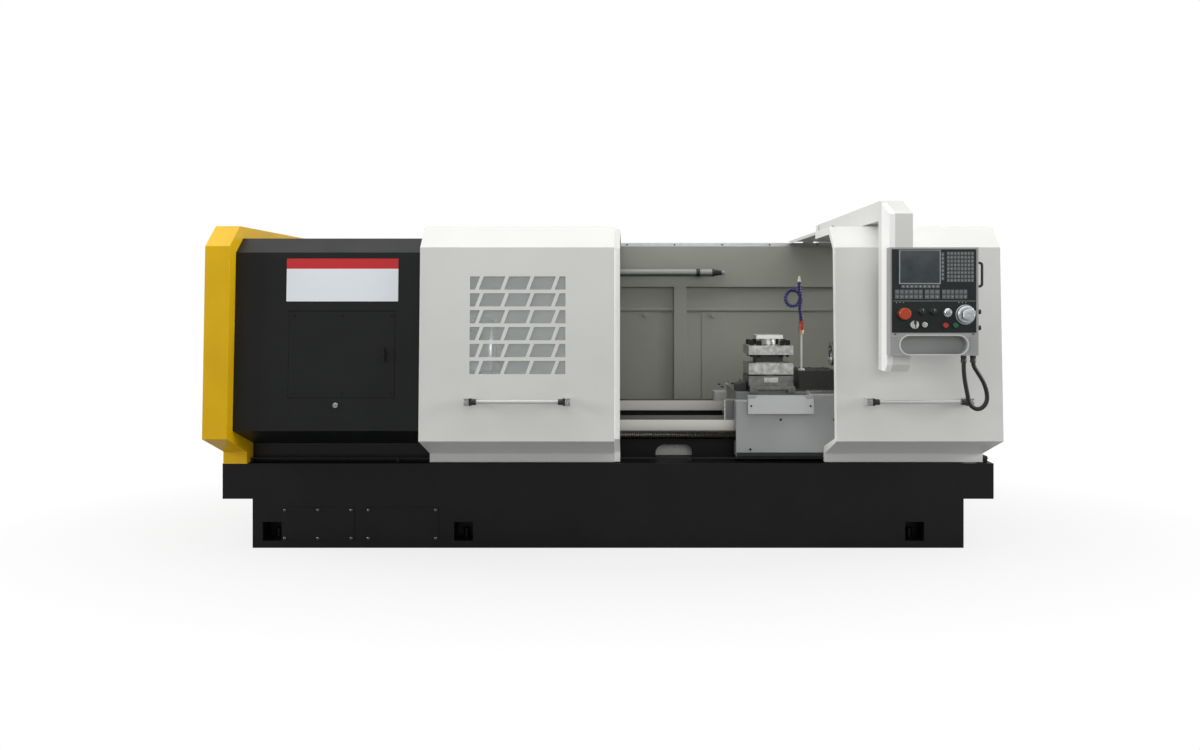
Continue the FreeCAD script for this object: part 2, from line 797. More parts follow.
def leaning_plate(face, outward, inward, x, z):
    """A flat plate that lies along a leaning front, from outward of its face to inward of it."""
    return prism("X", [
        (f"{face(z[0])} - ({outward})", z[0]),
        (f"{face(z[1])} - ({outward})", z[1]),
        (f"{face(z[1])} + ({inward})", z[1]),
        (f"{face(z[0])} + ({inward})", z[0]),
    ], x)


def hood(profile, x, flange, flange_end):
    """A folded hood with a stiffening flange round each open end, as far back as its end."""
    rim = [*profile[:-1], (flange_end, profile[-1][1])]
    skin = folded("X", profile, "sheet_gauge", x)
    left = folded("X", rim, flange, (x[0], f"{x[0]} + sheet_gauge"))
    right = folded("X", rim, flange, (f"{x[1]} - sheet_gauge", x[1]))
    return fuse(skin, left, right)


ACCESS_X = ("access_left", "access_right")
ACCESS_Z = ("access_low", "access_high")
access_hole = leaning_plate(cover_face, "access_cut", "access_cut", ACCESS_X, ACCESS_Z)
seat_outside = leaning_plate(cover_face, "-sheet_gauge", "2 * sheet_gauge",
                             ("access_left - access_seat", "access_right + access_seat"),
                             ("access_low - access_seat", "access_high + access_seat"))
seat_inside = leaning_plate(cover_face, "0", "3 * sheet_gauge",
                            ("access_left + access_seat", "access_right - access_seat"),
                            ("access_low + access_seat", "access_high - access_seat"))
cover_skin = hood(COVER_PROFILE, ("bed_left", "cover_right"), "flange_depth", "guard_front")
servo_notch = box(("cover_right - servo_notch_depth", "cover_right + 1"),
                  ("cover_skirt_y + sheet_gauge", "screw_y"),
                  ("base_top - 1", "screw_z + servo_half + servo_notch_gap"))
lock = cut(rod("Y", "lock_radius", (f"{cover_face('lock_z')} - lock_height", cover_face("lock_z")),
               ("lock_x", "lock_z")),
           leaning_plate(cover_face, "0", "2 * lock_radius", ("lock_x - 2 * lock_radius",
                                                              "lock_x + 2 * lock_radius"),
                         ("lock_z - 2 * lock_radius", "lock_z + 2 * lock_radius")))
node("headstock_cover", group(fuse(cut(cover_skin, access_hole, servo_notch),
                                   cut(seat_outside, seat_inside)), lock))

panel = leaning_plate(cover_face, "0", "sheet_gauge",
                      ("access_left + access_gap", "access_right - access_gap"),
                      ("access_low + access_gap", "access_high - access_gap"))
latch_face = cover_face("latch_z")
latch_hole = rod("Y", "latch_shaft_radius + running_gap",
                 (f"{latch_face} - access_cut", f"{latch_face} + access_cut"), ("latch_x", "latch_z"))
node("access_panel", cut(panel, latch_hole))
BOSS_BACK = f"{latch_face} - latch_gap"
BOSS_FRONT = f"{BOSS_BACK} - latch_boss_height"
node("access_latch", fuse(
    rod("Y", "latch_shaft_radius", (BOSS_BACK, f"{latch_face} + latch_reach"), ("latch_x", "latch_z")),
    rod("Y", "latch_boss_radius", (BOSS_FRONT, BOSS_BACK), ("latch_x", "latch_z")),
    box(("latch_x - latch_paddle_width / 2", "latch_x + latch_paddle_width / 2"),
        (f"{BOSS_FRONT} - latch_paddle_height", BOSS_FRONT),
        ("latch_z - latch_paddle_length / 2", "latch_z + latch_paddle_length / 2")),
))

END_PROFILE = [
    ("end_skirt_y", "base_top"),
    ("end_skirt_y", "end_skirt_top"),
    ("end_cover_front", "end_knee_z"),
    ("end_brow_y", "end_brow_z"),
    ("end_eave_y", "end_roof_z"),
    ("guard_back", "end_roof_z"),
]
END_X = (f"{BASE_LEFT} + end_inset", "bed_left")
end_cap = prism("X", [*END_PROFILE, ("guard_back", "base_top")],
                (END_X[0], f"{END_X[0]} + sheet_gauge"))
end_skin = hood(END_PROFILE, END_X, "end_flange", "guard_back")
end_back = box(END_X, ("guard_back - sheet_gauge", "guard_back"), ("base_top", "end_roof_z"))
node("end_cover", fuse(end_cap, end_skin, end_back))

node("nameplate", leaning_plate(cover_face, "nameplate_gauge", "0",
                                ("nameplate_left", "nameplate_right"),
                                ("nameplate_low", "nameplate_high")))

# ---------------------------------------------------------------------------------------------
# Rear guard: one folded sheet on posts, with two screwed-on panels and the rail on its top.
# ---------------------------------------------------------------------------------------------
GUARD_SIZES = {
    "guard_recess": 30,
    "guard_return": 27,
    "column_left": 396,
    "column_right": 475,
    "post_width": 50,
    "ledge_height": 16,
    "ledge_depth": 12,
    "panel_a_left": -300,
    "panel_a_right": 302,
    "panel_b_left": 575,
    "panel_b_right": 1175,
    "panel_knob_radius": 12,
    "panel_knob_height": 14,
    "panel_knob_inset_x": 84,
    "panel_b_knob_inset": 66,
    "panel_knob_inset_z": 25,
    "top_rail_depth": 30,
    "top_rail_height": 23,
    "front_rail_y": -509,
    "front_rail_depth": 8,
    "rail_post_width": 12,
    "rail_post_pitch": 760,
    "stop_width": 40,
    "stop_height": 30,
    "stop_depth": 60,
    "rail_inset": 15,
}
keep(GUARD_SIZES)
GUARD_ABOVE_BASE = {
    "guard_low": 84,
    "guard_band_low": 926,
    "guard_top": 1181,
    "ledge_z": 776,
    "panel_low": 204,
    "panel_high": 771,
    "front_rail_low": 17,
    "front_rail_high": 24,
}
keep(GUARD_ABOVE_BASE, BASE_TOP)
GUARD_FROM_RIGHT_END = {
    "guard_right": 51,
}
keep(GUARD_FROM_RIGHT_END, RIGHT_END)

GUARD_WALL = "guard_front + guard_recess"
guard_sheet = folded("X", [
    (GUARD_WALL, "guard_low"),
    (GUARD_WALL, "guard_band_low"),
    ("guard_front", "guard_band_low"),
    ("guard_front", "guard_top"),
    ("guard_back", "guard_top"),
    ("guard_back", "guard_top - guard_return"),
], "sheet_gauge", ("bed_left", "guard_right"))
GUARD_DEPTH = ("guard_front", "guard_back")
posts = [
    box(("bed_left", "bed_left + post_width"), GUARD_DEPTH, ("base_top", "guard_top")),
    box(("column_left", "column_right"), GUARD_DEPTH, ("base_top", "guard_band_low")),
    box(("guard_right - post_width", "guard_right"), GUARD_DEPTH, ("base_top", "guard_top")),
]
ledge = box(("bed_left", "guard_right"), (f"{GUARD_WALL} - ledge_depth", GUARD_WALL),
            ("ledge_z", "ledge_z + ledge_height"))
node("rear_guard", fuse(guard_sheet, ledge, *posts))


def guard_panel(x, knob_x):
    """A removable panel on the guard's wall, with its turn knob."""
    front = f"{GUARD_WALL} - sheet_gauge"
    knob = rod("Y", "panel_knob_radius", (f"{front} - panel_knob_height", front),
               (knob_x, "panel_high - panel_knob_inset_z"))
    return fuse(box(x, (front, GUARD_WALL), ("panel_low", "panel_high")), knob)


node("guard_panels", group(
    guard_panel(("panel_a_left", "panel_a_right"), "panel_a_right - panel_knob_inset_x"),
    guard_panel(("panel_b_left", "panel_b_right"), "panel_b_left + panel_b_knob_inset"),
))

# The doors hang on a rail along the guard's top and are led by a thin rail on the base.
RAIL_RIGHT = f"{BASE_RIGHT} - rail_inset"
rail_length = sizes["base_length"] - sizes["bed_left"] - sizes["rail_inset"]
RAIL_POSTS = int((rail_length - sizes["rail_post_width"]) / sizes["rail_post_pitch"]) + 1
FRONT_RAIL = ("front_rail_y - front_rail_depth / 2", "front_rail_y + front_rail_depth / 2")
front_rail = [box(("bed_left", RAIL_RIGHT), FRONT_RAIL,
                  ("front_rail_low", "front_rail_high"))]
for k in range(RAIL_POSTS):
    left = f"bed_left + {k} * rail_post_pitch"
    front_rail.append(box((left, f"{left} + rail_post_width"), FRONT_RAIL,
                          ("base_top", "front_rail_low")))
top_rail = box(("bed_left", "guard_right"), ("guard_front", "guard_front + top_rail_depth"),
               ("guard_top", "guard_top + top_rail_height"))
stop = box((f"{RAIL_RIGHT} - stop_width", RAIL_RIGHT),
           (FRONT_RAIL[1], "front_rail_y + stop_depth"),
           ("base_top", "base_top + stop_height"))
node("door_rails", group(fuse(*front_rail, stop), top_rail))

# ---------------------------------------------------------------------------------------------
# Work lamp: a tube under the guard's upper band, on two brackets, with its plug.
# ---------------------------------------------------------------------------------------------
LAMP_SIZES = {
    "lamp_left": -555,
    "lamp_right": 645,
    "lamp_y": 440,
    "lamp_radius": 23,
    "lamp_bracket_width": 24,
    "lamp_bracket_half": 14,
    "lamp_bracket_inset": 90,
    "lamp_plug_length": 62,
    "lamp_plug_radius": 13,
}
keep(LAMP_SIZES)
LAMP_ABOVE_BASE = {
    "lamp_z": 1014,
}
keep(LAMP_ABOVE_BASE, BASE_TOP)

LAMP_AXIS = ("lamp_y", "lamp_z")
lamp = rod("X", "lamp_radius", ("lamp_left", "lamp_right"), LAMP_AXIS)
brackets = []
for left in ("lamp_left + lamp_bracket_inset",
             "lamp_right - lamp_bracket_inset - lamp_bracket_width"):
    arm = box((left, f"{left} + lamp_bracket_width"), ("lamp_y", "guard_front"),
              ("lamp_z - lamp_bracket_half", "lamp_z + lamp_bracket_half"))
    brackets.append(cut(arm, lamp))
PLUG_END = "lamp_right + lamp_plug_length"
plug = fuse(
    rod("X", "lamp_plug_radius", ("lamp_right", PLUG_END), LAMP_AXIS),
    rod("Y", "lamp_plug_radius / 2", ("lamp_y", "guard_front"),
        (f"{PLUG_END} - lamp_plug_radius", "lamp_z")),
)
node("work_lamp", group(lamp, plug, *brackets))

# ---------------------------------------------------------------------------------------------
# Sliding doors: two folded hoods of one profile that run over the rails.
# ---------------------------------------------------------------------------------------------
DOOR_SIZES = {
    "door_skirt_y": -535,
    "door_front": -800,
    "door_brow_y": -758,
    "door_eave_y": -645,
    "door_back": 530,
    "door_flange": 18,
    "strip_width": 27,
    "strip_setback": 14,
    "flange_clearance": 8,
    "glide_length": 60,
    "glide_inset": 90,
    "glide_height": 20,
    "glide_gap": 0.3,
    "slot_row_height": 65,
    "slot_row_pitch": 83,
    "slant_bar_width": 18,
    "slant_bar_pitch": 124.6,
    "slant_shift": 24.5,
    "pane_gauge": 5,
    "pane_margin": 20,
    "handle_length": 512,
    "handle_radius": 10,
    "handle_reach": 52,
    "handle_block_length": 34,
    "handle_block_half": 17,
}
keep(DOOR_SIZES)
DOOR_ABOVE_BASE = {
    "door_low": 4,
    "door_skirt_top": 49,
    "door_knee_z": 152,
    "window_low": 480,
    "handle_z": 350,
}
keep(DOOR_ABOVE_BASE, BASE_TOP)
DOOR_ABOVE_GUARD = {
    "door_brow_z": -77,
    "door_roof_z": 35,
}
keep(DOOR_ABOVE_GUARD, GUARD_TOP)
DOOR_FROM_LEFT_END = {
    "left_door_left": 1067,
    "left_door_right": 2053,
    "window_left": 1314,
    "window_right": 1785,
    "first_bar_x": 1373,
    "left_handle_left": 1300,
}
keep(DOOR_FROM_LEFT_END, LEFT_END)
DOOR_FROM_RIGHT_END = {
    "right_door_left": 867,
    "right_door_right": 51,
    "right_handle_left": 731,
}
keep(DOOR_FROM_RIGHT_END, RIGHT_END)

DOOR_PROFILE = [
    ("door_skirt_y", "door_low"),
    ("door_skirt_y", "door_skirt_top"),
    ("door_front", "door_knee_z"),
    ("door_brow_y", "door_brow_z"),
    ("door_eave_y", "door_roof_z"),
    ("door_back", "door_roof_z"),
]


def door_face(z):
    """The outside of a door's leaning front at a height."""
    lean = "(door_brow_y - door_front) / (door_brow_z - door_knee_z)"
    return f"door_front + ({z} - door_knee_z) * {lean}"


def glides(left, right):
    """Nylon blocks in the hood: two over the front rail, two over the rail on the guard."""
    blocks = []
    for start in (f"{left} + glide_inset", f"{right} - glide_inset - glide_length"):
        x = (start, f"{start} + glide_length")
        blocks.append(box(x, ("door_skirt_y + sheet_gauge", FRONT_RAIL[1]),
                          ("front_rail_high + glide_gap", "front_rail_high + glide_height")))
        blocks.append(box(x, ("guard_front", "door_back"),
                          ("guard_top + top_rail_height + glide_gap",
                           "door_roof_z - sheet_gauge")))
    return blocks


# The left door's window: six rows of slanting slots with a clear pane behind them.
SLOT_ROWS = 6
SLANT_BARS = 4


def slant_slot(k):
    """One slot of the lowest row: the end slots stop square at the window's sides."""
    left = f"first_bar_x + {k - 1} * slant_bar_pitch + slant_bar_width / 2"
    right = f"first_bar_x + {k} * slant_bar_pitch - slant_bar_width / 2"
    feet = [f"{left} - slant_shift", f"{right} - slant_shift"]
    heads = [left, right]
    if k == 0:
        feet[0] = heads[0] = "window_left"
    if k == SLANT_BARS:
        feet[1] = heads[1] = "window_right"
    low = "window_low"
    high = "window_low + slot_row_height"
    corners = [(feet[0], low), (feet[1], low), (heads[1], high), (heads[0], high)]
    return prism("Y", corners, ("door_front - 20", "door_brow_y + 20"))


slot_row = group(*[slant_slot(k) for k in range(SLANT_BARS + 1)])
slot_rows = [slot_row]
for row in range(1, SLOT_ROWS):
    slot_rows.append(shift(group(slot_row), z=f"{row} * slot_row_pitch"))
WINDOW_TOP = f"window_low + {SLOT_ROWS - 1} * slot_row_pitch + slot_row_height"
FLANGE_END = "guard_front - flange_clearance"
HOOD_RIGHT = "left_door_right - strip_width"
left_hood = hood(DOOR_PROFILE, ("left_door_left", HOOD_RIGHT), "door_flange", FLANGE_END)
# A strip set back from the skin closes the gap to the other door.
STRIP_PROFILE = [*DOOR_PROFILE[:-1], (FLANGE_END, DOOR_PROFILE[-1][1])]
STRIP_X = (f"{HOOD_RIGHT} - sheet_gauge", "left_door_right")
strip = cut(folded("X", STRIP_PROFILE, "strip_setback + sheet_gauge", STRIP_X),
            folded("X", STRIP_PROFILE, "strip_setback", STRIP_X))
node("left_door", group(fuse(cut(left_hood, group(*slot_rows)), strip),
                        *glides("left_door_left", "left_door_right")))
door_lean = "(door_brow_y - door_front) / (door_brow_z - door_knee_z)"
pane_face = f"sheet_gauge * sqrt(1 + ({door_lean}) ^ 2)"
node("left_window", leaning_plate(
    door_face, f"-({pane_face})", f"{pane_face} + pane_gauge",
    ("window_left - pane_margin", "window_right + pane_margin"),
    ("window_low - pane_margin", f"{WINDOW_TOP} + pane_margin")))
right_hood = hood(DOOR_PROFILE, ("right_door_left", "right_door_right"), "door_flange",
                  FLANGE_END)
node("right_door", group(right_hood, *glides("right_door_left", "right_door_right")))

# Each door is pulled by a round bar held off its front between two end blocks.
def door_handle(left):
    """A bar and the two blocks that carry its ends."""
    low = "handle_z - handle_block_half"
    high = "handle_z + handle_block_half"
    bar_y = f"{door_face('handle_z')} - handle_reach"
    front = f"{bar_y} - handle_block_half"
    right = f"{left} + handle_length"
    blocks = []
    for x in ((left, f"{left} + handle_block_length"), (f"{right} - handle_block_length", right)):
        blocks.append(prism("X", [(front, low), (front, high), (door_face(high), high),
                                  (door_face(low), low)], x))
    bar = rod("X", "handle_radius", (f"{left} + handle_block_length",
                                     f"{right} - handle_block_length"), (bar_y, "handle_z"))
    return fuse(bar, *blocks)


node("left_handle", door_handle("left_handle_left"))
node("right_handle", door_handle("right_handle_left"))

# ---------------------------------------------------------------------------------------------
# Carriage: the saddle on the ways, the apron cover in front of it and the covers on it.
# ---------------------------------------------------------------------------------------------
CARRIAGE_SIZES = {
    "slide_gap": 0.4,
    "saddle_front": -400,
    "saddle_back": 200,
    "wiper_gauge": 8,
    "dovetail_height": 16,
    "dovetail_low_half": 75,
    "dovetail_high_half": 85,
    "channel_half": 25,
    "cross_screw_radius": 12.5,
    "apron_front": -496,
    "apron_gauge": 4,
    "nut_length": 110,
    "nut_radius": 40,
    "flap_depth": 30,
    "servo_case_front": -230,
    "servo_case_back": 20,
    "oil_case_front": -492,
    "oil_case_back": -402,
    "oil_case_bevel": 16,
    "wedge_length": 55,
    "wedge_height": 51,
    "cross_servo_half": 55,
    "cross_servo_length": 170,
    "saddle_foot_gap": 10,
    "channel_end": 20,
    "nut_wall": 12,
    "nut_arm": 70,
    "oil_case_inset": 10,
    "wedge_inset": 8,
    "wedge_share": 0.7,
    "cross_screw_inset": 4,
    "cross_screw_end": 10,
}
keep(CARRIAGE_SIZES)
CARRIAGE_ABOVE_BASE = {
    "saddle_top": 351,
    "saddle_hook_z": 168,
    "saddle_belly_z": 270,
    "wing_top": 309,
    "channel_z": 288,
    "cross_screw_z": 314,
    "apron_low": 26,
    "apron_high": 314,
    "flap_low": 251,
    "flap_high": 348,
    "servo_case_top": 454,
    "oil_case_top": 362,
}
keep(CARRIAGE_ABOVE_BASE, BASE_TOP)
CARRIAGE_FROM_RIGHT_END = {
    "saddle_left": 1311,
    "saddle_right": 731,
    "front_wing_left": 1366,
    "rear_wing_left": 1379,
    "slide_x": 1121,
    "apron_left": 1323,
    "nut_left": 1081,
    "flap_left": 1266,
    "flap_right": 924,
    "servo_case_left": 945,
    "servo_case_right": 736,
    "oil_case_left": 940,
}
keep(CARRIAGE_FROM_RIGHT_END, RIGHT_END)

OVER_WAYS = way_tops("slide_gap")
WAY_FRONT = "front_way_front - slide_gap"
WAY_BACK = f"{REAR_WAY_BACK} + slide_gap"
saddle_outline = [
    ("saddle_front", "saddle_top"),
    ("saddle_front", "saddle_hook_z"),
    (WAY_FRONT, "saddle_hook_z"),
    (WAY_FRONT, "front_way_top + slide_gap"),
    *OVER_WAYS[1:],
    (FRONT_WAY_BACK, "saddle_belly_z"),
    ("rear_way_front", "saddle_belly_z"),
    ("rear_way_front", "rear_way_top + slide_gap"),
    (WAY_BACK, "rear_way_top + slide_gap"),
    (WAY_BACK, f"{REAR_WAY_LOW} + saddle_foot_gap"),
    ("saddle_back", f"{REAR_WAY_LOW} + saddle_foot_gap"),
    ("saddle_back", "saddle_top"),
]
front_wing = [
    (WAY_FRONT, "front_way_top + slide_gap"),
    *OVER_WAYS[1:],
    (FRONT_WAY_BACK, "wing_top"),
    (WAY_FRONT, "wing_top"),
]
rear_wing = [
    ("rear_way_front", "rear_way_top + slide_gap"),
    (WAY_BACK, "rear_way_top + slide_gap"),
    (WAY_BACK, "wing_top"),
    ("rear_way_front", "wing_top"),
]
SLIDE = ("slide_x - dovetail_low_half", "slide_x + dovetail_low_half")
dovetail = prism("Y", [
    (SLIDE[0], "saddle_top"),
    (SLIDE[1], "saddle_top"),
    ("slide_x + dovetail_high_half", "saddle_top + dovetail_height"),
    ("slide_x - dovetail_high_half", "saddle_top + dovetail_height"),
], ("saddle_front", "saddle_back"))
CHANNEL = ("slide_x - channel_half", "slide_x + channel_half")
channel = box(CHANNEL, ("saddle_front + channel_end", "saddle_back - channel_end"),
              ("channel_z", "saddle_top + dovetail_height + 1"))
CROSS_AXIS = ("slide_x", "cross_screw_z")
cross_hole = rod("Y", "cross_screw_radius + running_gap", ("saddle_front - 1", "saddle_back + 1"),
                 CROSS_AXIS)
saddle = fuse(
    prism("X", saddle_outline, ("saddle_left", "saddle_right")),
    prism("X", front_wing, ("front_wing_left", "saddle_left")),
    prism("X", rear_wing, ("rear_wing_left", "saddle_left")),
    dovetail,
)
node("saddle", cut(saddle, channel, cross_hole))

APRON_X = ("apron_left", "saddle_right")
apron_case = cut(
    box(APRON_X, ("apron_front", "saddle_front"), ("apron_low", "apron_high")),
    box(("apron_left + apron_gauge", "saddle_right - apron_gauge"),
        ("apron_front + apron_gauge", "saddle_front + 1"),
        ("apron_low + apron_gauge", "apron_high - apron_gauge")),
    box(("apron_left - 1", "saddle_right + 1"),
        ("screw_y - screw_radius - 12", "saddle_front + 1"),
        ("screw_z - screw_radius - nut_wall", "screw_z + screw_radius + nut_wall")),
)
nut_bore = rod("X", "screw_radius + running_gap", ("nut_left - 1", "nut_left + nut_length + 1"),
               SCREW_AXIS)
NUT_X = ("nut_left", "nut_left + nut_length")
ball_nut = cut(fuse(
    rod("X", "nut_radius", NUT_X, SCREW_AXIS),
    box(NUT_X, ("screw_y - nut_radius / 2", "saddle_front"), ("saddle_hook_z", "saddle_hook_z + nut_arm")),
    box(NUT_X, ("screw_y - nut_radius / 2", "screw_y + nut_radius / 2"),
        ("screw_z", "saddle_hook_z + nut_arm")),
), nut_bore)
flap = cut(
    box(("flap_left", "flap_right"), ("apron_front - flap_depth", "apron_front"),
        ("flap_low", "flap_high")),
    box(("flap_left + apron_gauge", "flap_right - apron_gauge"),
        ("apron_front - flap_depth + apron_gauge", "apron_front + 1"),
        ("flap_low + apron_gauge", "flap_high - apron_gauge")),
)
node("apron", group(apron_case, ball_nut, flap))

OIL_X = ("oil_case_left", "saddle_right - oil_case_inset")
oil_case = prism("X", [
    ("oil_case_front", "apron_high"),
    ("oil_case_front", "oil_case_top - oil_case_bevel"),
    ("oil_case_front + oil_case_bevel", "oil_case_top"),
    ("oil_case_back", "oil_case_top"),
    ("oil_case_back", "apron_high"),
], OIL_X)
servo_case = box(("servo_case_left", "servo_case_right"),
                 ("servo_case_front", "servo_case_back"), ("saddle_top", "servo_case_top"))
wedge = prism("Y", [
    ("saddle_left + wedge_inset", "saddle_top"),
    ("saddle_left + wedge_inset + wedge_length", "saddle_top"),
    ("saddle_left + wedge_inset + wedge_length", "saddle_top + wedge_height"),
    ("saddle_left + wedge_inset", "saddle_top + wedge_height * wedge_share"),
], ("-330", "-210"))
wipers = [
    prism("X", front_wing, ("front_wing_left - wiper_gauge", "front_wing_left")),
    prism("X", rear_wing, ("rear_wing_left - wiper_gauge", "rear_wing_left")),
]
cross_servo = box(("slide_x - cross_servo_half", "slide_x + cross_servo_half"),
                  ("saddle_back", "saddle_back + cross_servo_length"),
                  ("cross_screw_z - cross_servo_half", "saddle_top"))
cross_servo = cut(cross_servo, rod("Y", "cross_screw_radius + running_gap",
                                   ("saddle_back - 1", "saddle_back + 12"), CROSS_AXIS))
node("saddle_covers", group(oil_case, servo_case, wedge, *wipers, cross_servo))
node("cross_screw", rod("Y", "cross_screw_radius", ("saddle_front + cross_screw_inset",
                                                      "saddle_back + cross_screw_end"),
                        CROSS_AXIS))

# ---------------------------------------------------------------------------------------------
# Cross slide with its nut and the foot of the tool post.
# ---------------------------------------------------------------------------------------------
CROSS_SLIDE_SIZES = {
    "slide_half": 120,
    "slide_front": -420,
    "slide_back": 60,
    "post_half": 119.5,
    "post_y": -250,
    "foot_boss_radius": 95,
    "cross_nut_front": -180,
    "cross_nut_length": 60,
    "tail_gap_share": 1.5,
    "slide_nut_inset": 5,
    "slide_nut_gap": 4,
}
keep(CROSS_SLIDE_SIZES)
CROSS_SLIDE_ABOVE_BASE = {
    "slide_top": 385,
    "foot_top": 437,
    "foot_boss_top": 441,
}
keep(CROSS_SLIDE_ABOVE_BASE, BASE_TOP)

slide_low = "saddle_top + slide_gap"
tail_gap = "slide_gap * tail_gap_share"
slide_plate = prism("Y", [
    ("slide_x - slide_half", slide_low),
    (f"{SLIDE[0]} - {tail_gap}", slide_low),
    (f"slide_x - dovetail_high_half - {tail_gap}", "saddle_top + dovetail_height + slide_gap"),
    (f"slide_x + dovetail_high_half + {tail_gap}", "saddle_top + dovetail_height + slide_gap"),
    (f"{SLIDE[1]} + {tail_gap}", slide_low),
    ("slide_x + slide_half", slide_low),
    ("slide_x + slide_half", "slide_top"),
    ("slide_x - slide_half", "slide_top"),
], ("slide_front", "slide_back"))
cross_nut = cut(
    box(("slide_x - channel_half + slide_nut_inset", "slide_x + channel_half - slide_nut_inset"),
        ("cross_nut_front", "cross_nut_front + cross_nut_length"),
        ("channel_z + slide_nut_gap", "saddle_top + dovetail_height + slide_gap")),
    rod("Y", "cross_screw_radius + running_gap",
        ("cross_nut_front - 1", "cross_nut_front + cross_nut_length + 1"), CROSS_AXIS),
)
POST_X = ("slide_x - post_half", "slide_x + post_half")
POST_Y = ("post_y - post_half", "post_y + post_half")
post_foot = fuse(
    box(POST_X, POST_Y, ("slide_top", "foot_top")),
    rod("Z", "foot_boss_radius", ("foot_top", "foot_boss_top"), ("slide_x", "post_y")),
)
node("cross_slide", group(fuse(slide_plate, cross_nut), post_foot))

# ---------------------------------------------------------------------------------------------
# Four-way tool post: a square block with a slot down each side and clamping screws above.
# ---------------------------------------------------------------------------------------------
TOOL_POST_SIZES = {
    "post_boss_radius": 88,
    "tool_slot_depth": 48,
    "hub_radius": 44,
    "cap_half": 72,
    "clamp_radius": 9,
    "clamp_offset": 98,
    "clamp_spread": 62,
    "clamp_head_half": 12,
}
keep(TOOL_POST_SIZES)
TOOL_POST_ABOVE_BASE = {
    "post_low": 445,
    "slot_low": 505,
    "slot_high": 550,
    "post_high": 599,
    "hub_top": 634,
    "cap_top": 654,
    "clamp_head_top": 626,
    "clamp_foot_z": 536,
}
keep(TOOL_POST_ABOVE_BASE, BASE_TOP)

POST_CENTRE = ("slide_x", "post_y")
core_half = "post_half - tool_slot_depth"
turret = fuse(
    rod("Z", "post_boss_radius", ("foot_boss_top + slide_gap", "post_low"), POST_CENTRE),
    box(POST_X, POST_Y, ("post_low", "slot_low")),
    box((f"slide_x - ({core_half})", f"slide_x + ({core_half})"),
        (f"post_y - ({core_half})", f"post_y + ({core_half})"), ("slot_low", "slot_high")),
    box(POST_X, POST_Y, ("slot_high", "post_high")),
    rod("Z", "hub_radius", ("post_high", "hub_top"), POST_CENTRE),
    box(("slide_x - cap_half", "slide_x + cap_half"), ("post_y - cap_half", "post_y + cap_half"),
        ("hub_top", "cap_top")),
)
clamp_places = []
for side in (-1, 1):
    for step in (-1, 1):
        clamp_places.append((f"slide_x + {side} * clamp_offset", f"post_y + {step} * clamp_spread"))
        clamp_places.append((f"slide_x + {step} * clamp_spread", f"post_y + {side} * clamp_offset"))
clamp_holes = [rod("Z", "clamp_radius", ("slot_high - 1", "post_high + 1"), place)
               for place in clamp_places]
node("tool_post", cut(turret, *clamp_holes))
clamps = []
for x, y in clamp_places:
    clamps.append(fuse(
        rod("Z", "clamp_radius", ("clamp_foot_z", "post_high"), (x, y)),
        box((f"{x} - clamp_head_half", f"{x} + clamp_head_half"),
            (f"{y} - clamp_head_half", f"{y} + clamp_head_half"),
            ("post_high", "clamp_head_top")),
    ))
node("clamp_screws", group(*clamps))

# ---------------------------------------------------------------------------------------------
# Coolant pipe on the carriage: a thin rod, a red valve with its lever and a jointed hose.
# ---------------------------------------------------------------------------------------------
COOLANT_SIZES = {
    "coolant_y": -200,
    "coolant_rod_radius": 5.5,
    "valve_radius": 14,
    "coolant_foot_radius": 18,
    "coolant_foot_height": 10,
    "lever_hub_radius": 8,
    "lever_hub_length": 12,
    "lever_length": 44,
    "lever_thickness": 5,
    "hose_radius": 11,
    "nozzle_length": 32,
    "nozzle_tip_radius": 4,
}
keep(COOLANT_SIZES)
COOLANT_ABOVE_BASE = {
    "valve_low": 656,
    "valve_high": 713,
}
keep(COOLANT_ABOVE_BASE, BASE_TOP)
COOLANT_FROM_RIGHT_END = {
    "coolant_x": 927,
}
keep(COOLANT_FROM_RIGHT_END, RIGHT_END)


def route(points, reach=0.45):
    """A line through points, with each corner rounded by an arc as large as its runs allow."""
    places = [FreeCAD.Vector(*point) for point in points]
    edges = []
    last = places[0]
    for before, corner, after in zip(places, places[1:], places[2:]):
        inward = (before - corner).normalize()
        outward = (after - corner).normalize()
        step = reach * min((before - corner).Length, (after - corner).Length)
        start = corner + inward * step
        end = corner + outward * step
        half_turn = (math.pi - inward.getAngle(outward)) / 2
        radius = step / math.tan(half_turn)
        bisector = (inward + outward).normalize()
        middle = corner + bisector * (radius / math.cos(half_turn) - radius)
        edges.append(Part.LineSegment(last, start).toShape())
        edges.append(Part.Arc(start, middle, end).toShape())
        last = end
        radii.append(radius)
    edges.append(Part.LineSegment(last, places[-1]).toShape())
    return Part.Wire(edges)


def pipe(points, radius, reach=0.45):
    """A round tube along a route, compared with its section times its length."""
    radii.clear()
    path = route(points, reach)
    heading = (FreeCAD.Vector(*points[1]) - FreeCAD.Vector(*points[0])).normalize()
    ring = Part.Wire(Part.makeCircle(radius, FreeCAD.Vector(*points[0]), heading))
    tube = doc.addObject("Part::Feature", unused_name("pipe"))
    tube.Shape = path.makePipeShell([ring], True, False)
    share = tube.Shape.Volume / (math.pi * radius * radius * path.Length)
    print(f"pipe length {path.Length:.0f}, volume share {share:.3f}, "
          f"radii {', '.join(f'{r:.0f}' for r in radii)}")
    return tube


radii = []
COOLANT_AT = ("coolant_x", "coolant_y")
node("coolant_pipe", fuse(
    rod("Z", "coolant_foot_radius", ("servo_case_top", "servo_case_top + coolant_foot_height"), COOLANT_AT),
    rod("Z", "coolant_rod_radius", ("servo_case_top", "valve_low"), COOLANT_AT),
    rod("Z", "valve_radius", ("valve_low", "valve_high"), COOLANT_AT),
))

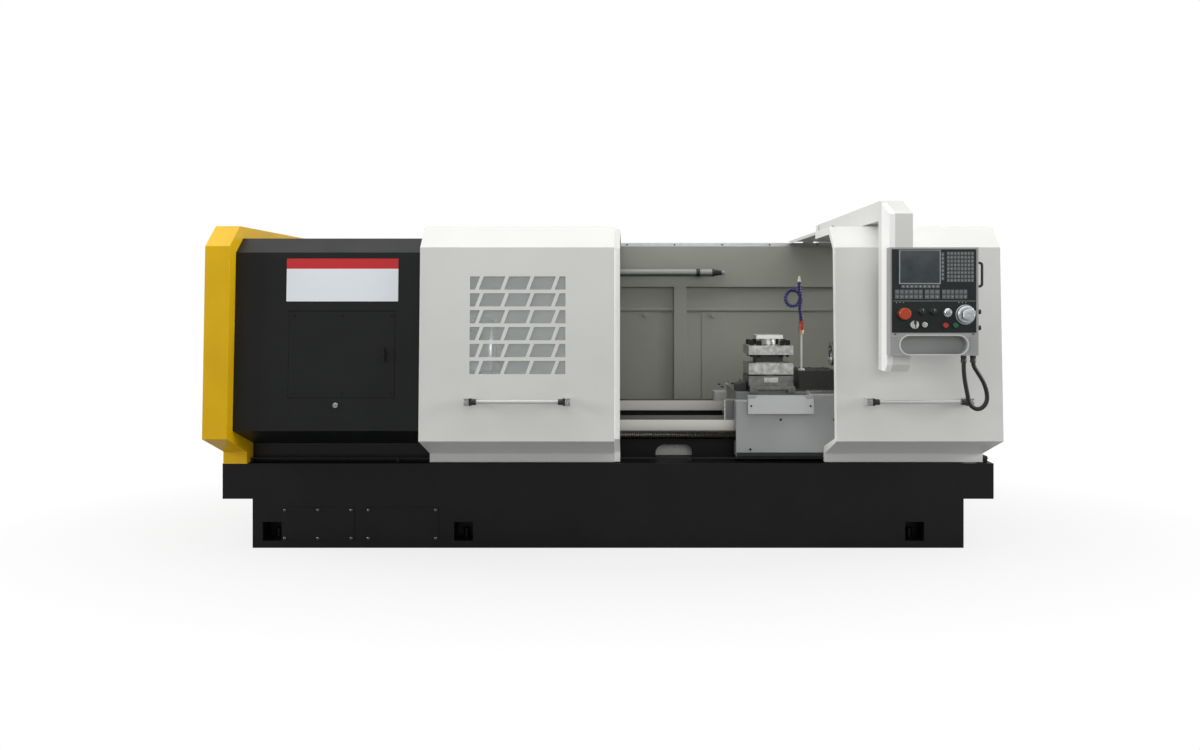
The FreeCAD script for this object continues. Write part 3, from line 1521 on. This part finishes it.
VALVE_MIDDLE = "(valve_low + valve_high) / 2"
LEVER_BACK = "coolant_y - valve_radius - slide_gap"
LEVER_FRONT = f"{LEVER_BACK} - lever_hub_length"
node("valve_lever", fuse(
    rod("Y", "lever_hub_radius", (LEVER_FRONT, LEVER_BACK), ("coolant_x", VALVE_MIDDLE)),
    box(("coolant_x - lever_hub_radius", "coolant_x + lever_hub_radius"),
        (LEVER_FRONT, f"{LEVER_FRONT} + lever_thickness"),
        (VALVE_MIDDLE, f"{VALVE_MIDDLE} + lever_length")),
))

# The hose's route starts at the top of the valve.
HOSE_ROUTE = [
    (0, 0, 0), (0, 0, 41), (-10, 0, 89), (0, -4, 139), (-24, -10, 185), (-70, -16, 187),
    (-96, -22, 143), (-76, -28, 97), (-30, -34, 99), (-10, -38, 143), (-18, -38, 189),
    (-18, -38, 231),
]
hose = pipe(HOSE_ROUTE, sizes["hose_radius"])
nozzle = doc.addObject("Part::Cone", unused_name("nozzle"))
bind(nozzle, "Radius1", "hose_radius")
bind(nozzle, "Radius2", "nozzle_tip_radius")
bind(nozzle, "Height", "nozzle_length")
nozzle.Placement = FreeCAD.Placement(FreeCAD.Vector(*HOSE_ROUTE[-1]), FreeCAD.Rotation())
node("coolant_hose", shift(group(hose, nozzle), "coolant_x", "coolant_y", "valve_high"))

# ---------------------------------------------------------------------------------------------
# Tailstock: a casting on the ways with a sliding quill, its handwheel and its clamp lever.
# ---------------------------------------------------------------------------------------------
TAILSTOCK_SIZES = {
    "tail_bevel": 60,
    "tail_neck_front": -215,
    "tail_neck_back": 15,
    "barrel_radius": 105,
    "quill_radius": 66.5,
    "quill_recess_radius": 47,
    "quill_recess_depth": 14,
    "quill_taper_radius": 22,
    "quill_taper_depth": 120,
    "tail_shaft_radius": 15,
    "tail_wall": 24,
    "tail_wheel_radius": 125,
    "tail_rim_radius": 13,
    "tail_hub_radius": 32,
    "tail_hub_length": 40,
    "tail_wheel_gap": 6,
    "spoke_radius": 9,
    "tail_grip_radius": 12,
    "tail_grip_length": 62,
    "clamp_hub_radius": 20,
    "clamp_hub_height": 34,
    "clamp_arm_length": 190,
    "clamp_arm_radius": 9,
    "clamp_knob_radius": 19,
    "tail_hook_drop": 14,
    "tail_hook_gap": 4,
    "spoke_foot_share": 0.8,
    "rim_bevel_share": 0.5,
}
keep(TAILSTOCK_SIZES)
TAILSTOCK_ABOVE_BASE = {
    "tail_block_top": 370,
}
keep(TAILSTOCK_ABOVE_BASE, BASE_TOP)
TAILSTOCK_FROM_RIGHT_END = {
    "tail_left": 691,
    "tail_right": 351,
    "barrel_left": 669,
    "barrel_right": 301,
    "quill_left": 744,
    "quill_right": 431,
    "tail_screw_left": 591,
    "clamp_lever_x": 571,
}
keep(TAILSTOCK_FROM_RIGHT_END, RIGHT_END)

tail_outline = [
    (WAY_FRONT, f"{FRONT_WAY_LOW} - tail_hook_drop"),
    (WAY_FRONT, "front_way_top + slide_gap"),
    *OVER_WAYS[1:],
    (FRONT_WAY_BACK, "saddle_belly_z"),
    ("rear_way_front", "saddle_belly_z"),
    ("rear_way_front", "rear_way_top + slide_gap"),
    (WAY_BACK, "rear_way_top + slide_gap"),
    (WAY_BACK, f"{REAR_WAY_LOW} + tail_hook_gap"),
    ("saddle_back", f"{REAR_WAY_LOW} + tail_hook_gap"),
    ("saddle_back", "tail_block_top - tail_bevel"),
    ("tail_neck_back", "tail_block_top"),
    ("tail_neck_back", "spindle_z"),
    ("tail_neck_front", "spindle_z"),
    ("tail_neck_front", "tail_block_top"),
    ("saddle_front", "tail_block_top - tail_bevel"),
    ("saddle_front", f"{FRONT_WAY_LOW} - tail_hook_drop"),
]
quill_bore = rod("X", "quill_radius + running_gap", ("tail_left - 1", "barrel_right - tail_wall"),
                 SPINDLE_AXIS)
tail_shaft_bore = rod("X", "tail_shaft_radius + running_gap",
                      ("barrel_right - tail_wall - 1", "barrel_right + 1"), SPINDLE_AXIS)
tailstock = fuse(
    prism("X", tail_outline, ("tail_left", "tail_right")),
    rod("X", "barrel_radius", ("barrel_left", "barrel_right"), SPINDLE_AXIS),
)
node("tailstock", cut(tailstock, quill_bore, tail_shaft_bore))

QUILL_LENGTH = "quill_right - quill_left"
node("quill", turned("X", [
    ("0", "quill_recess_radius"),
    ("0", "quill_radius"),
    (QUILL_LENGTH, "quill_radius"),
    (QUILL_LENGTH, "tail_shaft_radius + running_gap"),
    ("quill_taper_depth", "tail_shaft_radius + running_gap"),
    ("quill_taper_depth", "quill_taper_radius"),
    ("quill_recess_depth", "quill_taper_radius"),
    ("quill_recess_depth", "quill_recess_radius"),
], ("quill_left", *SPINDLE_AXIS)))

SPOKE_ANGLES = (0, 120, 240)
WHEEL_LEFT = "barrel_right + tail_wheel_gap"
rim_low = "tail_wheel_radius - 2 * tail_rim_radius"
rim_bevel = "tail_rim_radius * rim_bevel_share"
rim = turned("X", [
    ("0", f"{rim_low} + {rim_bevel}"),
    ("0", f"tail_wheel_radius - {rim_bevel}"),
    (rim_bevel, "tail_wheel_radius"),
    (f"2 * tail_rim_radius - {rim_bevel}", "tail_wheel_radius"),
    ("2 * tail_rim_radius", f"tail_wheel_radius - {rim_bevel}"),
    ("2 * tail_rim_radius", f"{rim_low} + {rim_bevel}"),
    (f"2 * tail_rim_radius - {rim_bevel}", rim_low),
    (rim_bevel, rim_low),
], (WHEEL_LEFT, *SPINDLE_AXIS))
hub = rod("X", "tail_hub_radius", (WHEEL_LEFT, f"{WHEEL_LEFT} + tail_hub_length"), SPINDLE_AXIS)
spoke = rod("Z", "spoke_radius", ("tail_hub_radius * spoke_foot_share", f"{rim_low} + tail_rim_radius"),
            ("tail_rim_radius", "0"))
spokes = [spun(spoke, angle, (WHEEL_LEFT, *SPINDLE_AXIS)) for angle in SPOKE_ANGLES]
tail_shaft = rod("X", "tail_shaft_radius", ("tail_screw_left", WHEEL_LEFT), SPINDLE_AXIS)
grip = rod("X", "tail_grip_radius", (f"{WHEEL_LEFT} + 2 * tail_rim_radius",
                                     f"{WHEEL_LEFT} + 2 * tail_rim_radius + tail_grip_length"),
           ("spindle_y", "spindle_z + tail_wheel_radius - tail_rim_radius"))
node("tail_handwheel", fuse(rim, hub, tail_shaft, grip, *spokes))

CLAMP_LOW = "spindle_z + barrel_radius + slide_gap"
CLAMP_AT = ("clamp_lever_x", "spindle_y")
clamp_arm_z = f"{CLAMP_LOW} + clamp_hub_height / 2"
clamp_ball = doc.addObject("Part::Sphere", unused_name("ball"))
bind(clamp_ball, "Radius", "clamp_knob_radius")
shift(clamp_ball, "clamp_lever_x", "spindle_y - clamp_arm_length", clamp_arm_z)
node("tail_clamp", fuse(
    rod("Z", "clamp_hub_radius", (CLAMP_LOW, f"{CLAMP_LOW} + clamp_hub_height"), CLAMP_AT),
    rod("Y", "clamp_arm_radius", ("spindle_y - clamp_arm_length", "spindle_y"),
        ("clamp_lever_x", clamp_arm_z)),
    clamp_ball,
))

# ---------------------------------------------------------------------------------------------
# Control boom: a duct from a column behind the guard, over the right door, down to the panel.
# ---------------------------------------------------------------------------------------------
BOOM_SIZES = {
    "boom_width": 111,
    "boom_front": -1000,
    "boom_bevel_y": -841,
    "post_front_y": -960,
    "post_back_y": -815,
    "post_bevel": 35,
    "column_depth": 100,
    "panel_front": -1020,
}
keep(BOOM_SIZES)
BOOM_ABOVE_BASE = {
    "post_bottom": 504,
    "column_low": -186,
    "panel_low_z": 585,
    "panel_high_z": 1089,
}
keep(BOOM_ABOVE_BASE, BASE_TOP)
BOOM_ABOVE_GUARD = {
    "boom_low": 48,
    "boom_high": 144,
    "boom_bevel_z": 68,
}
keep(BOOM_ABOVE_GUARD, GUARD_TOP)
BOOM_FROM_RIGHT_END = {
    "boom_left": 668,
    "panel_left": 670,
    "panel_right": 259,
}
keep(BOOM_FROM_RIGHT_END, RIGHT_END)

BOOM_X = ("boom_left", "boom_left + boom_width")
BOOM_INSIDE = ("boom_left + sheet_gauge", "boom_left + boom_width - sheet_gauge")
boom_outline = [
    ("guard_back", "boom_low"),
    ("post_back_y", "boom_low"),
    ("post_back_y", "post_bottom"),
    ("post_front_y + post_bevel", "post_bottom"),
    ("post_front_y", "post_bottom + post_bevel"),
    ("post_front_y", "panel_high_z"),
    ("boom_front", "panel_high_z"),
    ("boom_front", "boom_bevel_z"),
    ("boom_bevel_y", "boom_high"),
    ("guard_back", "boom_high"),
]
boom_room = [
    ("guard_back + 1", "boom_low + sheet_gauge"),
    ("post_back_y - sheet_gauge", "boom_low + sheet_gauge"),
    ("post_back_y - sheet_gauge", "post_bottom + sheet_gauge"),
    ("post_front_y + post_bevel", "post_bottom + sheet_gauge"),
    ("post_front_y + sheet_gauge", "post_bottom + post_bevel"),
    ("post_front_y + sheet_gauge", "panel_high_z + sheet_gauge"),
    ("boom_front + sheet_gauge", "panel_high_z + sheet_gauge"),
    ("boom_front + sheet_gauge", "boom_bevel_z"),
    ("boom_bevel_y", "boom_high - sheet_gauge"),
    ("guard_back + 1", "boom_high - sheet_gauge"),
]
boom = cut(prism("X", boom_outline, BOOM_X), prism("X", boom_room, BOOM_INSIDE))
COLUMN_Y = ("guard_back", "guard_back + column_depth")
column = cut(
    box(BOOM_X, COLUMN_Y, ("column_low", "boom_high")),
    box(BOOM_INSIDE, ("guard_back + sheet_gauge", "guard_back + column_depth - sheet_gauge"),
        ("column_low - 1", "boom_high - sheet_gauge")),
)
node("control_boom", group(boom, column))

# ---------------------------------------------------------------------------------------------
# Control panel: a grey case with a grip opening, a black front plate, a screen and keys.
# ---------------------------------------------------------------------------------------------
PANEL_SIZES = {
    "fascia_gauge": 4,
    "rear_case_back": -845,
    "stem_depth": 18,
    "handle_bar_half": 3.5,
    "screen_gauge": 2,
    "key_gap": 3,
    "key_height": 1.2,
    "pilot_radius": 13,
    "pilot_height": 6,
    "side_handle_y": -990,
    "side_handle_reach": 28,
    "side_handle_radius": 6,
    "plug_radius": 12,
    "plug_length": 20,
    "conduit_radius": 11,
    "gland_radius": 14,
    "gland_height": 20,
    "case_rim": 6,
    "rear_case_wall": 12,
    "pointer_height": 5,
    "crank_height": 22,
    "fascia_seat_depth": 2,
    "head_bevel_share": 0.12,
    "pointer_share": 0.8,
    "crank_share_x": 0.62,
    "crank_share_z": 0.3,
}
keep(PANEL_SIZES)
PANEL_ABOVE_BASE = {
    "fascia_low": 692,
    "fascia_high": 1080,
    "rear_case_low": 704,
    "rear_case_high": 1064,
    "grip_low": 591,
    "grip_high": 677,
    "screen_low": 923,
    "screen_high": 1074,
    "pilot_z": 729,
    "side_handle_low": 908,
    "side_handle_high": 1018,
    "plug_low_z": 714,
    "plug_high_z": 789,
}
keep(PANEL_ABOVE_BASE, BASE_TOP)
PANEL_FROM_PANEL_EDGE = {
    "fascia_left": 8,
    "fascia_right": 400,
    "rear_case_left": 119,
    "rear_case_right": 403,
    "grip_left": 47,
    "grip_right": 361,
    "screen_left": 45,
    "screen_right": 229,
    "pilot_x": 159,
}
keep(PANEL_FROM_PANEL_EDGE, PANEL_EDGE)

FASCIA_BACK = "panel_front + fascia_seat_depth"
FASCIA_FRONT = f"{FASCIA_BACK} - fascia_gauge"
panel_y = ("panel_front", "post_front_y")
grip_radius = "(grip_high - grip_low) / 2"
grip_middle = "(grip_high + grip_low) / 2"
grip_y = ("panel_front - 1", "post_front_y + 1")
grip_ends = (f"grip_left + {grip_radius}", f"grip_right - {grip_radius}")
grip_opening = fuse(
    box(grip_ends, grip_y, ("grip_low", "grip_high")),
    rod("Y", grip_radius, grip_y, (grip_ends[0], grip_middle)),
    rod("Y", grip_radius, grip_y, (grip_ends[1], grip_middle)),
)
panel_shell = fuse(
    box(("panel_left", "panel_right"), panel_y, ("panel_low_z", "panel_high_z")),
    box(("rear_case_left", "rear_case_right"), ("post_front_y", "rear_case_back"),
        ("rear_case_low", "rear_case_high")),
)
front_room = box(("fascia_left + case_rim", "fascia_right - case_rim"),
                 (f"{FASCIA_BACK} - 1", "post_front_y - sheet_gauge"),
                 ("fascia_low + case_rim", "fascia_high - case_rim"))
rear_room = box(("rear_case_left + sheet_gauge", "rear_case_right - rear_case_wall"),
                ("post_front_y - 2 * sheet_gauge", "rear_case_back - sheet_gauge"),
                ("rear_case_low + sheet_gauge", "rear_case_high - sheet_gauge"))
fascia_seat = box(("fascia_left", "fascia_right"), ("panel_front - 1", FASCIA_BACK),
                  ("fascia_low", "fascia_high"))
node("panel_case", cut(panel_shell, grip_opening, front_room, rear_room, fascia_seat))

# Controls on the front plate: name, place, head radius and height, stem radius, gap behind.
CONTROLS = [
    ("stop_mushroom", 62.5, 780, 27, 24, 9, 6.5),
    ("knob_left", 146, 790, 14, 16, 5, 0.5),
    ("knob_right", 200, 790, 14, 16, 5, 0.5),
    ("key_switch", 268, 785, 16, 10, 6, 0.5),
    ("feed_handwheel", 349, 776, 40, 20, 8, 1.5),
    ("selector", 111, 729, 18.5, 14, 6, 0.5),
    ("stop_button", 256, 726, 11.5, 7, 7, 3.5),
    ("start_button", 302.5, 726, 11.5, 7, 7, 3.5),
]
stem_holes = []
for name, x, z, head_radius, head_height, stem_radius, gap in CONTROLS:
    keep({f"{name}_x": x}, PANEL_EDGE)
    keep({f"{name}_z": z}, BASE_TOP)
    keep({f"{name}_radius": head_radius, f"{name}_height": head_height,
          f"{name}_stem": stem_radius, f"{name}_gap": gap})
    centre = (f"{name}_x", f"{name}_z")
    stem_holes.append(rod("Y", f"{name}_stem + running_gap",
                          (f"{FASCIA_FRONT} - 1", f"{FASCIA_BACK} + 1"), centre))
    back = f"{FASCIA_FRONT} - {name}_gap"
    head = f"{name}_height"
    edge = f"{name}_radius * head_bevel_share"
    solid = turned("-Y", [
        (f"-({name}_gap + fascia_gauge + stem_depth)", "0"),
        (f"-({name}_gap + fascia_gauge + stem_depth)", f"{name}_stem"),
        ("0", f"{name}_stem"),
        ("0", f"{name}_radius"),
        (f"{head} - {edge}", f"{name}_radius"),
        (head, f"{name}_radius - {edge}"),
        (head, "0"),
    ], (f"{name}_x", back, f"{name}_z"))
    if name in ("knob_left", "knob_right", "selector", "key_switch"):
        pointer = box((f"{name}_x - handle_bar_half", f"{name}_x + handle_bar_half"),
                      (f"{back} - {head} - pointer_height", f"{back} - {head}"),
                      (f"{name}_z - {name}_radius * pointer_share",
                       f"{name}_z + {name}_radius * pointer_share"))
        solid = fuse(solid, pointer)
    if name == "feed_handwheel":
        solid = fuse(solid, rod("Y", f"{name}_stem", (f"{back} - {head} - crank_height", f"{back} - {head}"),
                                (f"{name}_x + {name}_radius * crank_share_x",
                                 f"{name}_z + {name}_radius * crank_share_z")))
    node(name, solid)
fascia = box(("fascia_left", "fascia_right"), (FASCIA_FRONT, FASCIA_BACK),
             ("fascia_low", "fascia_high"))
node("fascia", cut(fascia, *stem_holes))

node("screen", box(("screen_left", "screen_right"), (f"{FASCIA_FRONT} - screen_gauge", FASCIA_FRONT),
                   ("screen_low", "screen_high")))

# Blocks of keys: name, left, right, low, high, columns, rows.
KEY_BLOCKS = [
    ("letter_keys", 263, 388, 928, 1068, 8, 8),
    ("side_keys", 237, 250, 936, 1064, 1, 7),
    ("soft_keys", 51, 229, 900, 915, 9, 1),
    ("mode_keys", 22, 150, 850, 892, 6, 2),
    ("axis_keys", 160, 229, 850, 892, 3, 2),
    ("rate_keys", 241, 297, 850, 892, 3, 2),
    ("spindle_keys", 301, 357, 850, 892, 3, 2),
]
KEY_Y = (f"{FASCIA_FRONT} - key_height", FASCIA_FRONT)
keys = []
for name, left, right, low, high, columns, rows in KEY_BLOCKS:
    keep({f"{name}_left": left, f"{name}_right": right}, PANEL_EDGE)
    keep({f"{name}_low": low, f"{name}_high": high}, BASE_TOP)
    across = f"({name}_right - {name}_left + key_gap) / {columns}"
    up = f"({name}_high - {name}_low + key_gap) / {rows}"
    for column_number in range(columns):
        for row_number in range(rows):
            x = f"{name}_left + {column_number} * {across}"
            z = f"{name}_low + {row_number} * {up}"
            keys.append(box((x, f"{x} + {across} - key_gap"), KEY_Y,
                            (z, f"{z} + {up} - key_gap")))
keys.append(rod("Y", "pilot_radius", (f"{FASCIA_FRONT} - pilot_height", FASCIA_FRONT),
                ("pilot_x", "pilot_z")))
node("keypad", group(*keys))

bar_feet = sizes["base_length"] / 2 - sizes["panel_right"]
bar_front = bar_feet + sizes["side_handle_reach"]
bar_low = sizes["base_top"] + sizes["side_handle_low"]
bar_high = sizes["base_top"] + sizes["side_handle_high"]
side_bar = pipe([
    (bar_feet, sizes["side_handle_y"], bar_low),
    (bar_front, sizes["side_handle_y"], bar_low),
    (bar_front, sizes["side_handle_y"], bar_high),
    (bar_feet, sizes["side_handle_y"], bar_high),
], sizes["side_handle_radius"])
plugs = [rod("X", "plug_radius", ("panel_right", "panel_right + plug_length"),
             ("side_handle_y", z)) for z in ("plug_low_z", "plug_high_z")]
node("side_handle", group(side_bar, *plugs))

# A corrugated conduit hangs in a loop under the panel between two glands.
# Its route is measured from the foot of the panel's left edge, in the middle of the case's rim.
CONDUIT_ROUTE = [
    (349, 20, -20), (349, 20, -59), (353, 20, -101), (359, 20, -145), (367, 20, -189),
    (383, 20, -227), (415, 20, -253), (447, 20, -235), (457, 20, -195), (453, 20, -151),
    (437, 20, -109), (409, 20, -73), (393, 20, -41), (393, 20, -20),
]
conduit = pipe(CONDUIT_ROUTE, sizes["conduit_radius"])
glands = [rod("Z", "gland_radius", ("-gland_height", "0"), (x, y))
          for x, y, z in (CONDUIT_ROUTE[0], CONDUIT_ROUTE[-1])]
node("conduit", shift(group(conduit, *glands), "panel_left", "panel_front", "panel_low_z"))

# ---------------------------------------------------------------------------------------------
# Back of the machine: the coolant tank with its pump, and the electrical cabinet.
# ---------------------------------------------------------------------------------------------
BACK_SIZES = {
    "tank_gap": 10,
    "tank_front": 330,
    "tank_back": 720,
    "tank_height": 212,
    "tank_gauge": 4,
    "pump_y": 640,
    "pump_radius": 66,
    "pump_height": 290,
    "cabinet_depth": 300,
    "cabinet_gauge": 3,
    "cabinet_rim": 24,
    "door_depth": 26,
    "door_gap": 1,
    "cabinet_latch_inset": 60,
    "cabinet_latch_radius": 16,
    "cabinet_latch_half": 9,
    "cabinet_latch_length": 110,
    "cabinet_latch_boss": 10,
    "cabinet_latch_arm": 14,
    "cabinet_latch_shaft": 12,
    "pump_plate_rim": 20,
    "pump_plate_gauge": 8,
    "gear_inset": 60,
    "gear_gauge": 4,
    "drive_inset": 110,
    "drive_pitch": 250,
    "drive_width": 160,
    "drive_depth": 170,
    "drive_height": 400,
    "drive_top_inset": 160,
    "relay_inset": 230,
    "relay_depth": 90,
    "relay_height": 160,
}
keep(BACK_SIZES)
BACK_ABOVE_BASE = {
    "cabinet_low": -136,
    "cabinet_high": 1124,
    "cabinet_latch_z": 494,
}
keep(BACK_ABOVE_BASE, BASE_TOP)
BACK_FROM_LEFT_END = {
    "cabinet_left": 341,
    "cabinet_right": 1341,
}
keep(BACK_FROM_LEFT_END, LEFT_END)
BACK_FROM_RIGHT_END = {
    "pump_x": 1141,
}
keep(BACK_FROM_RIGHT_END, RIGHT_END)

TANK_X = ("tank_bay_left + tank_gap", f"{TANK_BAY_RIGHT} - tank_gap")
TANK_TOP = "base_wall + tank_height"
tank = cut(
    box(TANK_X, ("tank_front", "tank_back"), ("base_wall", TANK_TOP)),
    box(("tank_bay_left + tank_gap + tank_gauge", f"{TANK_BAY_RIGHT} - tank_gap - tank_gauge"),
        ("tank_front + tank_gauge", "tank_back - tank_gauge"),
        ("base_wall + tank_gauge", f"{TANK_TOP} + 1")),
)
PUMP_FOOT = f"{TANK_TOP} + pump_plate_gauge"
pump_plate = box(("pump_x - pump_radius - pump_plate_rim", "pump_x + pump_radius + pump_plate_rim"),
                 ("base_back + pump_plate_gauge", "tank_back"), (TANK_TOP, PUMP_FOOT))
pump = rod("Z", "pump_radius", (PUMP_FOOT, f"{PUMP_FOOT} + pump_height"), ("pump_x", "pump_y"))
node("coolant_tank", group(tank, fuse(pump_plate, pump)))

CABINET_BACK = "guard_back + cabinet_depth"
cabinet = cut(
    box(("cabinet_left", "cabinet_right"), ("guard_back", CABINET_BACK),
        ("cabinet_low", "cabinet_high")),
    box(("cabinet_left + cabinet_gauge", "cabinet_right - cabinet_gauge"),
        ("guard_back + cabinet_gauge", f"{CABINET_BACK} - cabinet_gauge"),
        ("cabinet_low + cabinet_gauge", "cabinet_high - cabinet_gauge")),
    box(("cabinet_left + cabinet_rim", "cabinet_right - cabinet_rim"),
        ("guard_back + cabinet_depth / 2", f"{CABINET_BACK} + 1"),
        ("cabinet_low + cabinet_rim", "cabinet_high - cabinet_rim")),
)
gear_y = "guard_back + cabinet_gauge"
GEAR_FRONT = f"{gear_y} + gear_gauge"
gear = [box(("cabinet_left + gear_inset", "cabinet_right - gear_inset"), (gear_y, GEAR_FRONT),
            ("cabinet_low + gear_inset", "cabinet_high - gear_inset"))]
DRIVE_COUNT = 3
DRIVE_Z = ("cabinet_high - drive_top_inset - drive_height", "cabinet_high - drive_top_inset")
for k in range(DRIVE_COUNT):
    left = f"cabinet_left + drive_inset + {k} * drive_pitch"
    gear.append(box((left, f"{left} + drive_width"), (GEAR_FRONT, f"{GEAR_FRONT} + drive_depth"),
                    DRIVE_Z))
gear.append(box(("cabinet_left + drive_inset", "cabinet_right - relay_inset"),
                (GEAR_FRONT, f"{GEAR_FRONT} + relay_depth"),
                ("cabinet_low + drive_top_inset",
                 "cabinet_low + drive_top_inset + relay_height")))
node("cabinet", group(cabinet, *gear))
DOOR_Y = (f"{CABINET_BACK} + door_gap", f"{CABINET_BACK} + door_gap + door_depth")
cabinet_door = cut(
    box(("cabinet_left", "cabinet_right"), DOOR_Y, ("cabinet_low", "cabinet_high")),
    box(("cabinet_left + cabinet_gauge", "cabinet_right - cabinet_gauge"),
        (f"{DOOR_Y[0]} - 1", f"{DOOR_Y[1]} - cabinet_gauge"),
        ("cabinet_low + cabinet_gauge", "cabinet_high - cabinet_gauge")),
)
LATCH_AT = ("cabinet_right - cabinet_latch_inset", "cabinet_latch_z")
node("cabinet_door", cut(cabinet_door, rod(
    "Y", "latch_shaft_radius + running_gap", (f"{DOOR_Y[1]} - 10", f"{DOOR_Y[1]} + 1"), LATCH_AT)))
latch_back = f"{DOOR_Y[1]} + slide_gap"
LATCH_BOSS = f"{latch_back} + cabinet_latch_boss"
node("cabinet_latch", fuse(
    rod("Y", "latch_shaft_radius", (f"{DOOR_Y[1]} - cabinet_latch_shaft", latch_back), LATCH_AT),
    rod("Y", "cabinet_latch_radius", (latch_back, LATCH_BOSS), LATCH_AT),
    box((f"{LATCH_AT[0]} - cabinet_latch_half", f"{LATCH_AT[0]} + cabinet_latch_half"),
        (LATCH_BOSS, f"{LATCH_BOSS} + cabinet_latch_arm"),
        ("cabinet_latch_z - cabinet_latch_length", "cabinet_latch_z + cabinet_latch_radius")),
))

# ---------------------------------------------------------------------------------------------
# Every object is checked before a file is written.
# ---------------------------------------------------------------------------------------------
doc.recompute()
for thing in doc.Objects:
    if "Invalid" in thing.State or "Error" in thing.State:
        raise RuntimeError(f"{thing.Label} failed: {thing.State}")
for part in nodes:
    if part.Shape.isNull() or not part.Shape.isValid() or not part.Shape.Solids:
        raise RuntimeError(f"{part.Label} has no valid solid")
os.makedirs("parts", exist_ok=True)
for part in nodes:
    part.Shape.exportStep(os.path.join("parts", f"{part.Label}.step"))
print(len(nodes), "nodes written")
